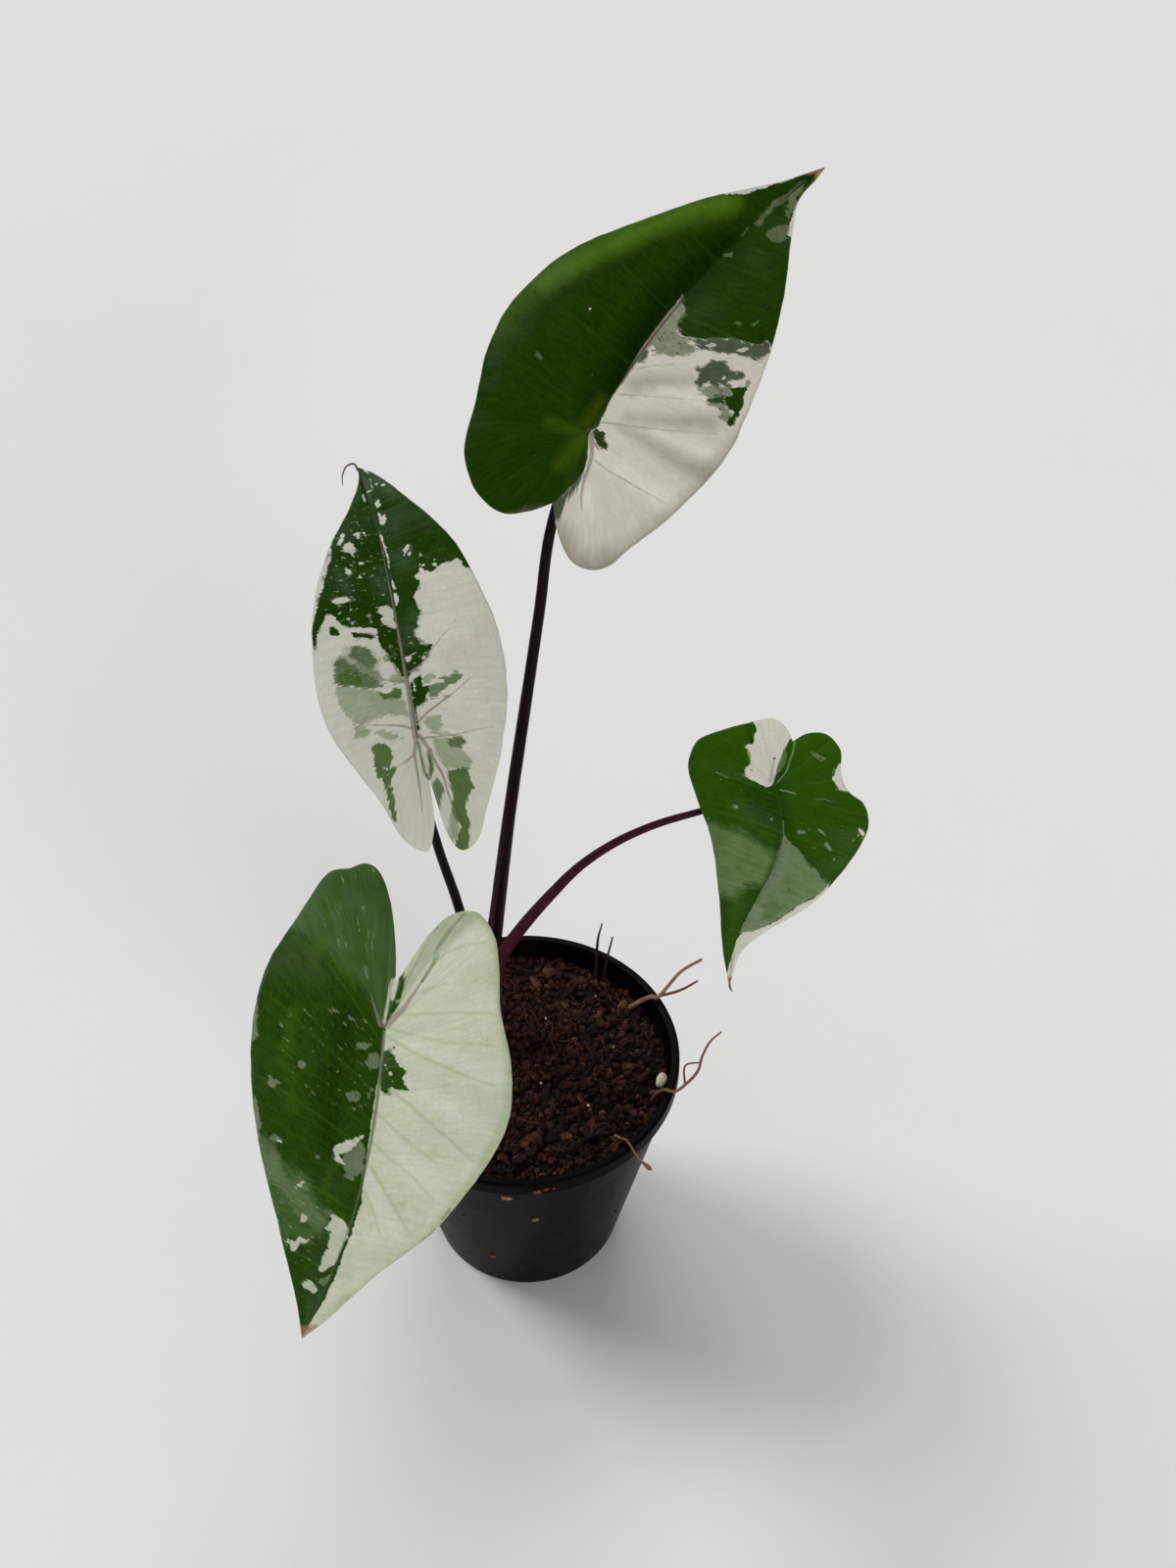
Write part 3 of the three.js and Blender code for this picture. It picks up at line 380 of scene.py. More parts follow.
MARKS_C = [
    # Painted shade, grey-green that is partly the leaf's own colour and partly a painted sheen, and painted
    # light on the dark half.
    Marks("shade", 0.6, 7.0, 0.6, strokes=[
        (30, 20, [(352, 1040), (340, 1100), (335, 1150), (345, 1190)]),
    ]),
    Marks("grey", 1.4, 2.8, 0.8, areas=[
        [(290, 925), (340, 875), (352, 870), (372, 868), (390, 874), (405, 900), (412, 940), (408, 1000),
         (400, 1012), (391, 1046), (384, 1040), (374, 1012), (366, 1002), (318, 958), (300, 950),
         (285, 948)],
        [(250, 1140), (268, 1165), (285, 1182), (312, 1200), (328, 1228), (340, 1240), (336, 1254),
         (325, 1262), (313, 1268), (285, 1262), (270, 1240), (255, 1195)],
    ]),
    Marks("lit", 2.4, 3.0, 0.6, strokes=[
        (12, 12, [(343, 900), (322, 985)]), (16, 10, [(372, 948), (368, 975)]),
        (10, 8, [(318, 965), (345, 982), (362, 1005)]), (14, 8, [(300, 1030), (290, 1080), (300, 1130)]),
        (10, 6, [(340, 1190), (330, 1215), (345, 1240)]),
    ]),
    Marks("sage", 1.0, 0.4, 0.5, areas=[
        [(361, 1068), (366, 1065), (383, 1063), (379, 1068), (370, 1070)],
        [(373, 1085), (377, 1078), (384, 1072), (388, 1080), (386, 1090), (379, 1092)],
        [(352, 1116), (358, 1113), (364, 1114), (368, 1119), (366, 1124), (357, 1125)],
        [(357, 1174), (368, 1165), (373, 1172), (370, 1192), (364, 1200), (359, 1203), (353, 1200),
         (349, 1184), (350, 1178)],
        [(256, 1062), (254, 1040), (259, 1018), (262, 1020), (264, 1052), (261, 1060)],
        [(255, 1120), (262, 1117), (266, 1160), (260, 1165), (254, 1140)],
        [(275, 1158), (281, 1157), (286, 1163), (280, 1166), (274, 1163)],
        [(326, 1307), (338, 1300), (335, 1308), (330, 1312)],
    ], strokes=[
        (3, 1.5, [(338, 1030), (346, 1034)]), (3, 1.5, [(356, 1037), (365, 1043)]),
        (2.5, 1.5, [(368, 1040), (375, 1043)]), (3, 2, [(362, 1131), (376, 1126)]),
        (3, 2, [(379, 1112), (376, 1120)]), (2.4, 1.4, [(373, 985), (375, 999)]),
        (1.6, 1, [(376, 948), (374, 970)]),
    ], dots=[
        (308, 1086, 3.5), (278, 1103, 5), (283, 1104, 4), (275, 1097, 1.5), (371, 927, 2),
        (324, 1181, 1.8), (345, 998, 1.5), (380, 888, 1.6),
    ]),
    # The cream half and the cream flecks on the dark one.
    Marks("cream", 0.9, 0.1, 1, areas=[
        [(392, 1050), (387, 1095), (381, 1130), (368, 1228), (359, 1257), (342, 1302), (331, 1326),
         (309, 1362), (300, 1385), (360, 1385), (440, 1300), (500, 1230), (540, 1160), (560, 1100),
         (545, 1040), (530, 990), (525, 930), (490, 905), (450, 915), (420, 950), (409, 994), (412, 1000),
         (408, 1022)],
        [(400, 1000), (405, 996), (408, 1004), (402, 1021), (398, 1020)],
        [(342, 1170), (345, 1166), (360, 1163), (372, 1158), (357, 1174), (346, 1178), (352, 1189),
         (342, 1184), (339, 1174)],
        [(300, 1212), (304, 1207), (309, 1206), (308, 1211), (303, 1214)],
        [(305, 1247), (309, 1240), (313, 1243), (311, 1248)],
        [(289, 1263), (295, 1264), (301, 1267), (304, 1262), (307, 1260), (309, 1264), (316, 1262),
         (317, 1266), (305, 1270), (301, 1276), (297, 1275), (298, 1269)],
        [(338, 1240), (342, 1239), (352, 1248), (356, 1254), (355, 1262), (351, 1268), (342, 1290),
         (330, 1298), (326, 1298), (324, 1294), (328, 1288), (337, 1264), (338, 1256), (334, 1256),
         (331, 1253), (335, 1249)],
        [(307, 1311), (312, 1308), (317, 1308), (320, 1313), (324, 1315), (323, 1319), (318, 1322),
         (314, 1316), (309, 1316)],
    ], strokes=[
        (2, 2.5, [(400, 1000), (392, 1044)]), (2.5, 1.5, [(281, 1163), (286, 1165)]),
    ]),
    # Painted light between the veins of the cream half, where its ridges would catch the light, and its
    # grey-green upper edge.
    Marks("painted_cream_light", 0.8, 4.5, 0.55, strokes=[
        (6, 30, [(414, 1022), (482, 962)]), (6, 22, [(422, 1040), (504, 1022)]),
        (6, 26, [(420, 1066), (502, 1100)]), (8, 26, [(406, 1096), (440, 1122), (480, 1146)]),
        (8, 26, [(394, 1146), (416, 1186), (442, 1212)]),
        (8, 18, [(378, 1196), (388, 1230), (400, 1258)]),
    ]),
    Marks("sage", 0.8, 2.0, 0.55, areas=[
        [(412, 998), (440, 948), (456, 932), (474, 926), (486, 935), (474, 950), (436, 986), (401, 1037),
         (408, 1020)],
    ]),
    # Grey-green specks on the dark half.
    Marks("sage", 2.2, 0.3, 0.7, areas=[
        [(268, 1150), (300, 1195), (330, 1230), (330, 1300), (312, 1330), (296, 1300), (276, 1230)],
        [(270, 1060), (300, 1030), (350, 1030), (380, 1060), (372, 1110), (340, 1130), (300, 1110)],
        [(340, 890), (385, 890), (395, 980), (360, 985), (330, 950)],
    ], flecks=1.45),
    # The lime line inside the margin.
    Marks("lime", 0.6, 1.6, 0.5, strokes=[
        (9, 9, [(478, 930), (496, 940), (505, 953), (508, 975), (507, 1000), (521, 1100), (518, 1130),
         (511, 1152), (500, 1174), (474, 1216), (438, 1261), (418, 1279), (345, 1333)]),
    ]),
    # Faint grey-green on the dark half, a painted sheen, and green streaks on the cream one.
    Marks("sage", 2.2, 2.5, 0.28, strokes=[
        (22, 16, [(266, 1168), (280, 1196), (322, 1244)]), (8, 8, [(303, 1207), (309, 1212)]),
        (8, 8, [(326, 1250), (334, 1240)]),
    ]),
    Marks("green", 0.5, 0.8, 0.5, strokes=[
        (3, 2, [(474, 932), (462, 945), (448, 965), (440, 984)]), (4, 3, [(459, 1234), (452, 1244)]),
        (3, 2, [(444, 1256), (432, 1266)]),
    ]),
    # Dark bits by the rib, with cream dots.
    Marks("dark", 0.8, 0.1, 1, areas=[
        [(391, 1073), (396, 1072), (410, 1090), (415, 1093), (413, 1096), (410, 1096), (412, 1101),
         (412, 1107), (417, 1112), (413, 1113), (404, 1112), (400, 1109), (398, 1115), (389, 1114),
         (388, 1100)],
        [(409, 998), (412, 995), (412, 1006), (408, 1022), (404, 1030), (395, 1041), (404, 1018)],
    ]),
    Marks("cream", 0.4, 0.15, 0.9, dots=[
        (398, 1095.5, 1.8), (393, 1087, 1), (395, 1091, 1), (395, 1098, 1.2), (400, 1103, 0.8),
    ]),
    # The side veins on cream, then the rib.
    Marks("greenvein", 0.2, 0.9, 0.85, strokes=[
        (3, 1.5, [(400, 1036), (470, 1033), (506, 1035)]),
        (3, 1.5, [(398, 1050), (455, 1064), (500, 1066)]),
        (4, 2, [(396, 1058), (420, 1073), (445, 1085), (475, 1098), (506, 1108)]),
        (4, 2, [(398, 1112), (415, 1125), (460, 1164), (482, 1185)]),
        (3, 1.5, [(384, 1135), (410, 1160), (446, 1187)]), (4, 2, [(378, 1190), (416, 1256)]),
        (2.5, 1.5, [(440, 986), (455, 972), (476, 964), (500, 961)]),
        (2.5, 1.5, [(380, 1165), (400, 1184), (420, 1200), (442, 1224)]),
        (2.5, 1.5, [(405, 1022), (455, 1003)]), (2.5, 1.5, [(372, 1215), (382, 1240), (388, 1262)]),
    ]),
    Marks("mauve", 0.1, 0.3, 0.75, strokes=[
        (7, 1, [(394, 1047), (412, 1029), (438, 990)]), (4, 0.6, [(388, 1046), (378, 1014)]),
    ]),
    Marks("green", 0.3, 0.5, 0.6, strokes=[(3.5, 2, [(431, 1001), (448, 974)])]),
    # Rust marks and the dry tip.
    Marks("rust", 0.2, 0.3, 0.9, dots=[
        (402, 1069, 1.3), (313, 1040, 1),
    ], strokes=[
        (1.4, 1, [(442, 949), (449, 945)]),
    ]),
    Marks("tan", 0.4, 1.2, 0.8, areas=[
        [(300, 1354), (322, 1352), (330, 1357), (322, 1372), (300, 1375)],
    ]),
]

MARKS_D = [
    # Painted light on the dark part, a grey-green zone that is partly the leaf's own colour and partly a
    # painted sheen, and small grey-green patches.
    Marks("lit", 0.6, 4.0, 0.45, areas=[
        [(695, 735), (760, 735), (766, 770), (755, 800), (775, 840), (790, 850), (786, 862), (760, 850),
         (720, 840), (695, 800)],
        [(802, 745), (860, 740), (895, 820), (880, 860), (845, 900), (815, 862), (802, 830)],
    ], strokes=[
        (12, 5, [(754, 912), (747, 945), (743, 985)]),
    ]),
    Marks("grey", 1.6, 3.6, 0.85, areas=[
        [(712, 838), (755, 848), (790, 872), (778, 902), (760, 903), (748, 916), (738, 914), (725, 905),
         (716, 870)],
    ]),
    Marks("grey", 0.4, 0.2, 0.8, areas=[
        [(797, 766), (801, 764), (803, 772), (801, 780), (797, 786), (791, 791)],
        [(850, 784), (854, 785), (851, 792), (849, 792)],
        [(826, 766), (835, 769), (843, 774), (838, 777), (830, 772)],
    ]),
    # Cream patches and the cream margin.
    Marks("cream", 0.6, 0.1, 1, areas=[
        [(769, 738), (772, 728), (780, 722), (800, 724), (815, 745), (804, 756), (794, 780), (788, 801),
         (783, 804), (775, 801), (772, 798), (766, 796), (761, 792), (760, 785), (766, 779), (763, 765),
         (760, 762), (763, 760), (767, 760), (769, 756), (772, 742)],
        [(857, 780), (870, 785), (875, 805), (866, 808), (861, 807), (856, 805), (850, 797), (849, 793)],
        [(876, 845), (880, 846), (882, 850), (881, 855), (876, 848)],
        [(845, 902), (838, 911), (828, 918), (815, 924), (806, 931), (786, 943), (768, 950), (758, 951),
         (752, 958), (740, 999), (746, 1008), (800, 960), (850, 925)],
    ], dots=[
        (880, 856, 1.2), (876, 853, 1), (787, 836, 1), (751, 823, 0.8),
    ]),
    # The grey-green belt inside the margin.
    Marks("sage", 0.5, 0.15, 0.85, areas=[
        [(800, 851), (805, 858), (818, 871), (827, 886), (831, 886), (836, 892), (838, 898), (842, 899),
         (843, 904), (836, 912), (815, 923), (797, 936), (779, 946), (768, 950), (758, 951), (754, 955),
         (757, 945), (788, 888)],
    ]),
    Marks("grey", 1.6, 1.2, 0.5, areas=[
        [(801, 853), (820, 873), (829, 887), (834, 890), (844, 902), (797, 934), (786, 940), (778, 939),
         (775, 936), (779, 928), (776, 920), (780, 912), (790, 906), (800, 895), (806, 880)],
    ]),
    Marks("green", 1.2, 1.2, 0.3, areas=[
        [(777, 922), (790, 920), (800, 925), (796, 933), (786, 939), (778, 938), (779, 930)],
    ], strokes=[
        (2, 1, [(789, 886), (795, 890)]), (1.4, 1, [(780, 905), (787, 918)]),
    ]),
    # Yellow-green specks.
    Marks("yellow", 2.2, 0.15, 0.7, areas=[
        [(815, 840), (850, 835), (880, 850), (872, 875), (845, 895), (825, 870)],
        [(725, 780), (760, 785), (770, 815), (730, 812)],
    ], flecks=1.6),
    # Grey-green lines and dots.
    Marks("sage", 0.2, 0.25, 0.8, strokes=[
        (1.6, 1.1, [(811, 757), (809, 768), (802, 788), (793, 799)]), (1.6, 1, [(796, 806), (812, 810)]),
        (1.3, 0.9, [(833, 816), (841, 815), (850, 819)]), (3.2, 2, [(836, 847), (842, 852)]),
        (4, 3, [(843, 861), (847, 867)]), (1.4, 1, [(731, 788), (744, 794)]),
        (2, 1.2, [(799, 838), (799.5, 851)]), (1.6, 0.8, [(868, 860), (876, 852)]),
        (1.6, 1, [(881, 820), (886, 828)]),
    ], dots=[
        (816, 849, 2.6), (820, 849, 2), (837, 858, 1), (851, 877, 1.4), (723, 835, 1.4), (825, 847, 0.8),
        (831, 865, 0.7),
    ]),
    # A mauve and a yellow bit of rib, rust marks and the dry tip.
    Marks("mauve", 0.1, 0.4, 0.5, strokes=[(4, 1.2, [(786, 797), (790, 776)])]),
    Marks("yellow", 0.2, 0.4, 0.9, strokes=[(3.5, 2.5, [(764, 768), (765, 773)])]),
    Marks("rust", 0.2, 0.25, 0.9, dots=[
        (790, 774, 1.4), (767, 786, 1.1), (778, 753, 0.9), (837, 774, 1.6), (805.5, 908, 1),
        (823, 912, 0.8), (760, 872, 1),
    ]),
    Marks("tan", 0.3, 1.0, 1, areas=[[(734, 997), (748, 997), (755, 1015), (738, 1012)]]),
]

# The leaves. Azimuth, elevation and roll, in degrees, place the blade's own plane, in which x runs
# across it and y along its midrib from the joint. The outline's two sides run from the notch to the
# tip. Pairs in fold and curl are left and right. Tones replace those above. A stalk's route ends at
# the joint.
LEAVES = [
    {
        "name": "a",
        "joint": (26, 67, 362),
        "azimuth": 43, "elevation": 32, "roll": -12,
        "tip": (2, 124), "notch": (5, -26),
        "left": [(0, -33), (-7, -39), (-18, -39), (-30, -31), (-39, -14), (-48, 5), (-53, 24),
                 (-49, 41), (-37, 63), (-21, 89), (-6, 110)],
        "right": [(11, -32), (24, -38.5), (35, -35), (40, -23), (47, -3), (47, 18), (42, 40),
                  (25, 76), (12, 95), (3.5, 109), (3, 118)],
        "fold": (0.5, 0.32), "curl": (0.0085, 0.003),
        "droop": 0.0008, "droop_from": 0, "lobe_droop": 0.004,
        "bow": -4.5, "sway": 0,
        "wave": (1.5, 45, (0.5, 2)),
        "base": "dark",
        "tones": {
            "dark": ((0.017, 0.050, 0.0003), (0.007, 0.023, 0.0002)),
            "grey": ((0.020, 0.052, 0.006), (0.006, 0.020, 0.001)),
            "yellow": ((0.120, 0.185, 0.010), (0.075, 0.130, 0.005)),
            "sage": ((0.150, 0.182, 0.094), (0.068, 0.094, 0.038)),
            # This leaf's painted shade, painted light and painted shade on cream, and painted highlights on
            # cream.
            "shade": ((0.005, 0.017, 0.0001), (0.0025, 0.009, 0.0001)),
            "lit": ((0.092, 0.190, 0.014), (0.062, 0.140, 0.008)),
            "painted_cream_shade": ((0.270, 0.252, 0.200), (0.200, 0.186, 0.144)),
            "painted_cream_light": ((0.800, 0.770, 0.690), (0.700, 0.672, 0.592)),
        },
        "rib": ((0.014, 0.032, 0.006), 0.4, 0.08),
        "gloss": 0.018, "quilt": 1.25, "swell": 0.8, "lines": 0.55,
        "marks": MARKS_A,
        "stalk": {
            "route": [(-16, 19.2, 116.4), (-14.2, 19, 131), (-10.5, 22, 156), (-3.5, 32, 212),
                      (5, 45, 270), (9, 52, 297), (12.5, 59, 323), (18, 63.5, 343), (26, 67, 362)],
            "radii": (4.4, 3.9, 3.1, 2.4, 2.1, 2, 1.9, 1.8, 1.8),
            "facing": (0.15, -1.0, 0.1), "groove": 0.42,
        },
    },
    {
        "name": "b",
        "joint": (-34, 16, 268),
        "azimuth": 104, "elevation": 38, "roll": 0,
        "tip": (-1, 105), "notch": (1.5, -15),
        "left": [(1.2, -24), (0.2, -33), (-3.5, -40), (-11, -35), (-17, -21), (-25, -6), (-31, 8),
                 (-32, 26), (-28, 50), (-19, 71), (-8, 87), (-2, 99)],
        "right": [(2.8, -24), (4.6, -35), (8.5, -41.5), (14, -40), (19, -30), (27, -12), (33, 7),
                  (35, 26), (31.5, 48), (25.5, 68), (14, 87), (4, 101)],
        "fold": (0.45, 0.45), "curl": (0.007, 0.007),
        "droop": 0.004, "droop_from": 30, "lobe_droop": 0.004,
        "bow": 1, "sway": 0,
        "wave": (1.2, 40, (0, 1.5)),
        "base": "cream",
        "tones": {
            "cream": ((0.655, 0.650, 0.570), (0.560, 0.560, 0.470)),
            # A painted sheen for the dark part.
            "painted_sheen": ((0.050, 0.100, 0.040), (0.024, 0.056, 0.017)),
            "grey": ((0.125, 0.185, 0.085), (0.060, 0.105, 0.036)),
            "green": ((0.090, 0.160, 0.034), (0.050, 0.104, 0.014)),
            "dark": ((0.017, 0.052, 0.0005), (0.007, 0.025, 0.0002)),
        },
        "rib": ((0.045, 0.065, 0.030), 0.3, 0.07),
        "gloss": 0.075, "quilt": 0.95, "swell": 0.6,
        "marks": MARKS_B,
        "stalk": {
            "route": [(-18.3, 20.4, 108.5), (-19.5, 20, 131), (-23, 18, 172), (-29.6, 17, 210),
                      (-33.6, 16.5, 240), (-34, 16, 268)],
            "radii": (5.4, 3.2, 1.95, 1.75, 1.7, 1.7),
            "facing": (0.8, -0.5, 0.3), "groove": 0.2,
        },
    },
    {
        "name": "c",
        "joint": (-44, -69, 210),
        "azimuth": -101, "elevation": -19, "roll": 4,
        "tip": (6.5, 103), "notch": (0, -18),
        "left": [(-4, -30), (-8, -40), (-14, -48), (-22, -49.5), (-30, -41.5), (-34, -31), (-38, -14),
                 (-46, 7), (-48.5, 23), (-43, 43), (-31, 64), (-15, 80), (-1, 96)],
        "right": [(3.5, -33), (10, -51), (17, -61.5), (22, -62.5), (26, -59), (32, -56), (38, -39),
                  (43.5, -19), (43.5, 12), (33, 45), (20, 72), (10.5, 92)],
        "fold": (0.4, 0.4), "curl": (0.006, 0.006),
        "droop": 0.002, "droop_from": 0, "lobe_droop": 0.003,
        "bow": -4.5, "sway": 0,
        "wave": (2, 48, (1, 2.5)),
        "base": "dark",
        "tones": {
            "cream": ((0.630, 0.648, 0.525), (0.470, 0.510, 0.345)),
            # Painted highlights for the cream half, and a grey-green that is partly the leaf's own colour
            # and partly a painted sheen.
            "painted_cream_light": ((0.715, 0.705, 0.630), (0.640, 0.635, 0.545)),
            "grey": ((0.086, 0.160, 0.052), (0.040, 0.092, 0.017)),
        },
        "rib": ((0.110, 0.140, 0.070), 0.6, 0.2),
        "gloss": 0.09, "quilt": 1.0, "swell": 0.7,
        "marks": MARKS_C,
        "stalk": {
            "route": [(-17, 15.6, 107.5), (-18.3, 11.5, 130), (-21.5, 0, 160), (-28, -22, 186),
                      (-36, -46, 201), (-44, -69, 210)],
            "radii": (5.4, 3.3, 2.2, 2, 1.9, 1.8),
            "facing": (0.1, 0.6, 0.8), "groove": 0.2,
        },
    },
    {
        "name": "d",
        "joint": (96, 37, 222),
        "azimuth": -103, "elevation": -38, "roll": 15,
        "tip": (-1, 76), "notch": (-4, -18),
        "left": [(-9, -22), (-16, -23), (-22, -18), (-23.5, -9.5), (-27.5, -3), (-34, 0.5), (-37, 8),
                 (-34, 20), (-22, 41), (-10, 52), (-2, 61.5)],
        "right": [(-0.5, -23), (5, -25), (13, -22), (23, -17), (32, -11), (34, -2), (29, 9), (20, 25),
                  (12.5, 44), (6, 62)],
        "fold": (0.3, 0.3), "curl": (0.007, 0.007),
        "droop": 0.005, "droop_from": 0, "lobe_droop": 0.006,
        "bow": -2.9, "sway": -4.2,
        "wave": (2.5, 34, (0, 3)),
        "base": "dark",
        "tones": {
            "dark": ((0.020, 0.072, 0.0005), (0.009, 0.038, 0.0002)),
            # Painted light, and a grey-green that is partly the leaf's own colour and partly a painted
            # sheen.
            "lit": ((0.050, 0.132, 0.002), (0.028, 0.086, 0.001)),
            "grey": ((0.180, 0.265, 0.105), (0.085, 0.160, 0.040)),
            "cream": ((0.740, 0.725, 0.640), (0.640, 0.625, 0.535)),
            "sage": ((0.260, 0.325, 0.195), (0.155, 0.215, 0.108)),
        },
        "rib": ((0.035, 0.075, 0.008), 0.3, 0.08),
        "gloss": 0.05, "quilt": 0.7, "swell": 0.7,
        "marks": MARKS_D,
        "stalk": {
            "route": [(-13.2, 17.6, 108.8), (-11.6, 15.2, 130), (-7.6, 14, 150.5), (0.2, 15, 166),
                      (11.7, 18, 182), (23, 22, 194), (36.6, 25.5, 203.5), (51.7, 29, 209.6),
                      (67.6, 32.5, 212.7), (82, 35, 216), (96, 37, 222)],
            "radii": (5.4, 3.5, 2.6, 2.35, 2.1, 1.8, 1.6, 1.45, 1.3, 1.25, 1.25),
            "facing": (-0.6, 0.2, 0.8), "groove": 0.14,
        },
    },
]


# Small tools

def unit(v):
    v = np.asarray(v, float)
    return v / np.linalg.norm(v, axis=-1, keepdims=True)


def smooth(a, b, x):
    t = np.clip((np.asarray(x, float) - a) / (b - a), 0, 1)
    return t * t * (3 - 2 * t)


def mixed(a, b, t):
    return a + (b - a) * t


def bell(x, width):
    """1 at 0, and next to nothing beyond twice the width."""
    return np.exp(-(x / width) ** 2)


def hashed(cells, seed):
    """Numbers from 0 to 1, one for each whole-number cell, the same each run."""
    cells = np.asarray(cells, np.int64)
    value = np.full(cells.shape[:-1], seed * 374761393 + 668265263, np.int64)
    for axis, prime in zip(range(cells.shape[-1]), (73856093, 19349663, 83492791)):
        value = (value ^ (cells[..., axis] * prime)) & 0x7FFFFFFF
        value = (value * 1103515245 + 12345) & 0x7FFFFFFF
        value ^= value >> 13
    value = (value * 1274126177 + 54321) & 0x7FFFFFFF
    value ^= value >> 16
    return (value & 0xFFFFFF) / 0xFFFFFF


def noise(points, size, seed=0, octaves=1):
    """Smooth value noise from -1 to 1 at points in mm, with lumps about size mm apart."""
    points = np.asarray(points, float)
    total = np.zeros(points.shape[:-1])
    weight_sum = 0.0
    for octave in range(octaves):
        p = points * 2.0 ** octave / size + 17.3 * octave
        base = np.floor(p).astype(np.int64)
        f = smooth(0, 1, p - base)
        value = np.zeros(points.shape[:-1])
        for corner in np.ndindex(*(2,) * points.shape[-1]):
            c = np.array(corner)
            weight = np.prod(np.where(c == 1, f, 1 - f), axis=-1)
            value += weight * hashed(base + c, seed + octave)
        weight = 0.5 ** octave
        total += weight * (2 * value - 1)
        weight_sum += weight
    return total / weight_sum


def run_along(points):
    """How far along a line of points each one lies."""
    steps = np.linalg.norm(np.diff(points, axis=0), axis=1)
    return np.concatenate([[0], np.cumsum(steps)])


def curve_points(route, steps):
    """Points on the centripetal Catmull-Rom curve through a route's points, the same number in
    each stretch between two of them, as the solids have them."""
    route = np.asarray(route, float)
    stretches = len(route) - 1
    ring = np.vstack([2 * route[0] - route[1], route, 2 * route[-1] - route[-2]])
    place = np.linspace(0, stretches, steps + 1)
    which = np.minimum(place.astype(int), stretches - 1)
    t = (place - which)[:, None]
    p0, p1, p2, p3 = (ring[which + k] for k in range(4))
    pairs = ((p0, p1), (p1, p2), (p2, p3))
    k1, k2, k3 = (np.sqrt(np.linalg.norm(b - a, axis=1, keepdims=True)) for a, b in pairs)
    m1 = ((p1 - p0) / k1 - (p2 - p0) / (k1 + k2) + (p2 - p1) / k2) * k2
    m2 = ((p2 - p1) / k2 - (p3 - p1) / (k2 + k3) + (p3 - p2) / k3) * k2
    return ((2 * t ** 3 - 3 * t ** 2 + 1) * p1 + (t ** 3 - 2 * t ** 2 + t) * m1
            + (-2 * t ** 3 + 3 * t ** 2) * p2 + (t ** 3 - t ** 2) * m2)


def even_points(points, count, dense=40):
    """Points at even distances along the same curve."""
    curve = curve_points(points, (len(points) - 1) * dense)
    run = run_along(curve)
    even = np.linspace(0, run[-1], count + 1)
    return np.stack([np.interp(even, run, axis) for axis in curve.T], 1)


def circle(sides):
    return np.arange(sides) / sides * 2 * np.pi


def wall_faces(rows, sides, outward=True):
    """Quads between rings of points, each ring a row of sides points."""
    j = np.arange(sides)
    k = (j + 1) % sides
    base = (np.arange(rows - 1) * sides)[:, None]
    quads = np.stack([base + j, base + k, base + k + sides, base + j + sides], -1).reshape(-1, 4)
    return quads if outward else quads[:, [0, 3, 2, 1]]


def fan_faces(hub, start, sides, forward=True):
    """Triangles from a middle point to the ring of points that starts at the number given."""
    j = np.arange(sides)
    k = (j + 1) % sides
    first, second = (j, k) if forward else (k, j)
    return np.stack([np.full(sides, hub), start + first, start + second], 1)


def new_mesh(name, points, faces, attributes=None, shade=True):
    """A mesh object from points in mm. Faces are arrays of three or four corners."""
    mesh = bpy.data.meshes.new(name)
    points = np.asarray(points, float) * MM
    groups = [np.asarray(f, np.int64) for f in (faces if isinstance(faces, list) else [faces])]
    loops = np.concatenate([g.ravel() for g in groups])
    sizes = np.concatenate([np.full(len(g), g.shape[1]) for g in groups])
    starts = np.concatenate([[0], np.cumsum(sizes)[:-1]])
    mesh.vertices.add(len(points))
    mesh.vertices.foreach_set("co", points.astype(np.float32).ravel())
    mesh.loops.add(len(loops))
    mesh.loops.foreach_set("vertex_index", loops.astype(np.int32))
    mesh.polygons.add(len(sizes))
    mesh.polygons.foreach_set("loop_start", starts.astype(np.int32))
    mesh.polygons.foreach_set("use_smooth", np.full(len(sizes), shade))
    mesh.update(calc_edges=True)
    mesh.validate()
    for key, values in (attributes or {}).items():
        values = np.asarray(values, np.float32)
        kind, field = ("FLOAT_VECTOR", "vector") if values.ndim == 2 else ("FLOAT", "value")
        mesh.attributes.new(key, kind, "POINT").data.foreach_set(field, values.ravel())
    obj = bpy.data.objects.new(name, mesh)
    bpy.context.scene.collection.objects.link(obj)
    return obj


def joined(parts):
    """Several (points, faces, attributes) as one."""
    points, faces, attributes, start = [], [], {}, 0
    for part_points, part_faces, part_attributes in parts:
        points.append(part_points)
        faces += [f + start for f in part_faces]
        for key, values in part_attributes.items():
            attributes.setdefault(key, []).append(values)
        start += len(part_points)
    return np.concatenate(points), faces, {k: np.concatenate(v) for k, v in attributes.items()}


# The camera's pixels

def to_pixels(points):
    """Where points in mm show in the camera's frame, and how far away they are."""
    rel = np.asarray(points, float) - CAMERA_PLACE
    depth = rel @ CAMERA_AHEAD
    x = FRAME_WIDTH / 2 + FOCAL * rel[..., 0] / depth
    y = FRAME_HEIGHT / 2 - FOCAL * (rel @ CAMERA_UPWARD) / depth
    return np.stack([x, y], -1), depth


def pixel_ray(x, y):
    """Direction from the camera through a pixel of the frame."""
    aside, down = (x - FRAME_WIDTH / 2) / FOCAL, (y - FRAME_HEIGHT / 2) / FOCAL
    return unit(CAMERA_AHEAD + np.array([aside, 0, 0]) - CAMERA_UPWARD * down)


def from_segment(at, a, b):
    """How far points lie from a segment, and the share of it, from a on, at which they're nearest."""
    d = b - a
    t = np.clip(((at - a) @ d) / (d @ d), 0, 1)
    return np.linalg.norm(at - a - t[:, None] * d, axis=1), t


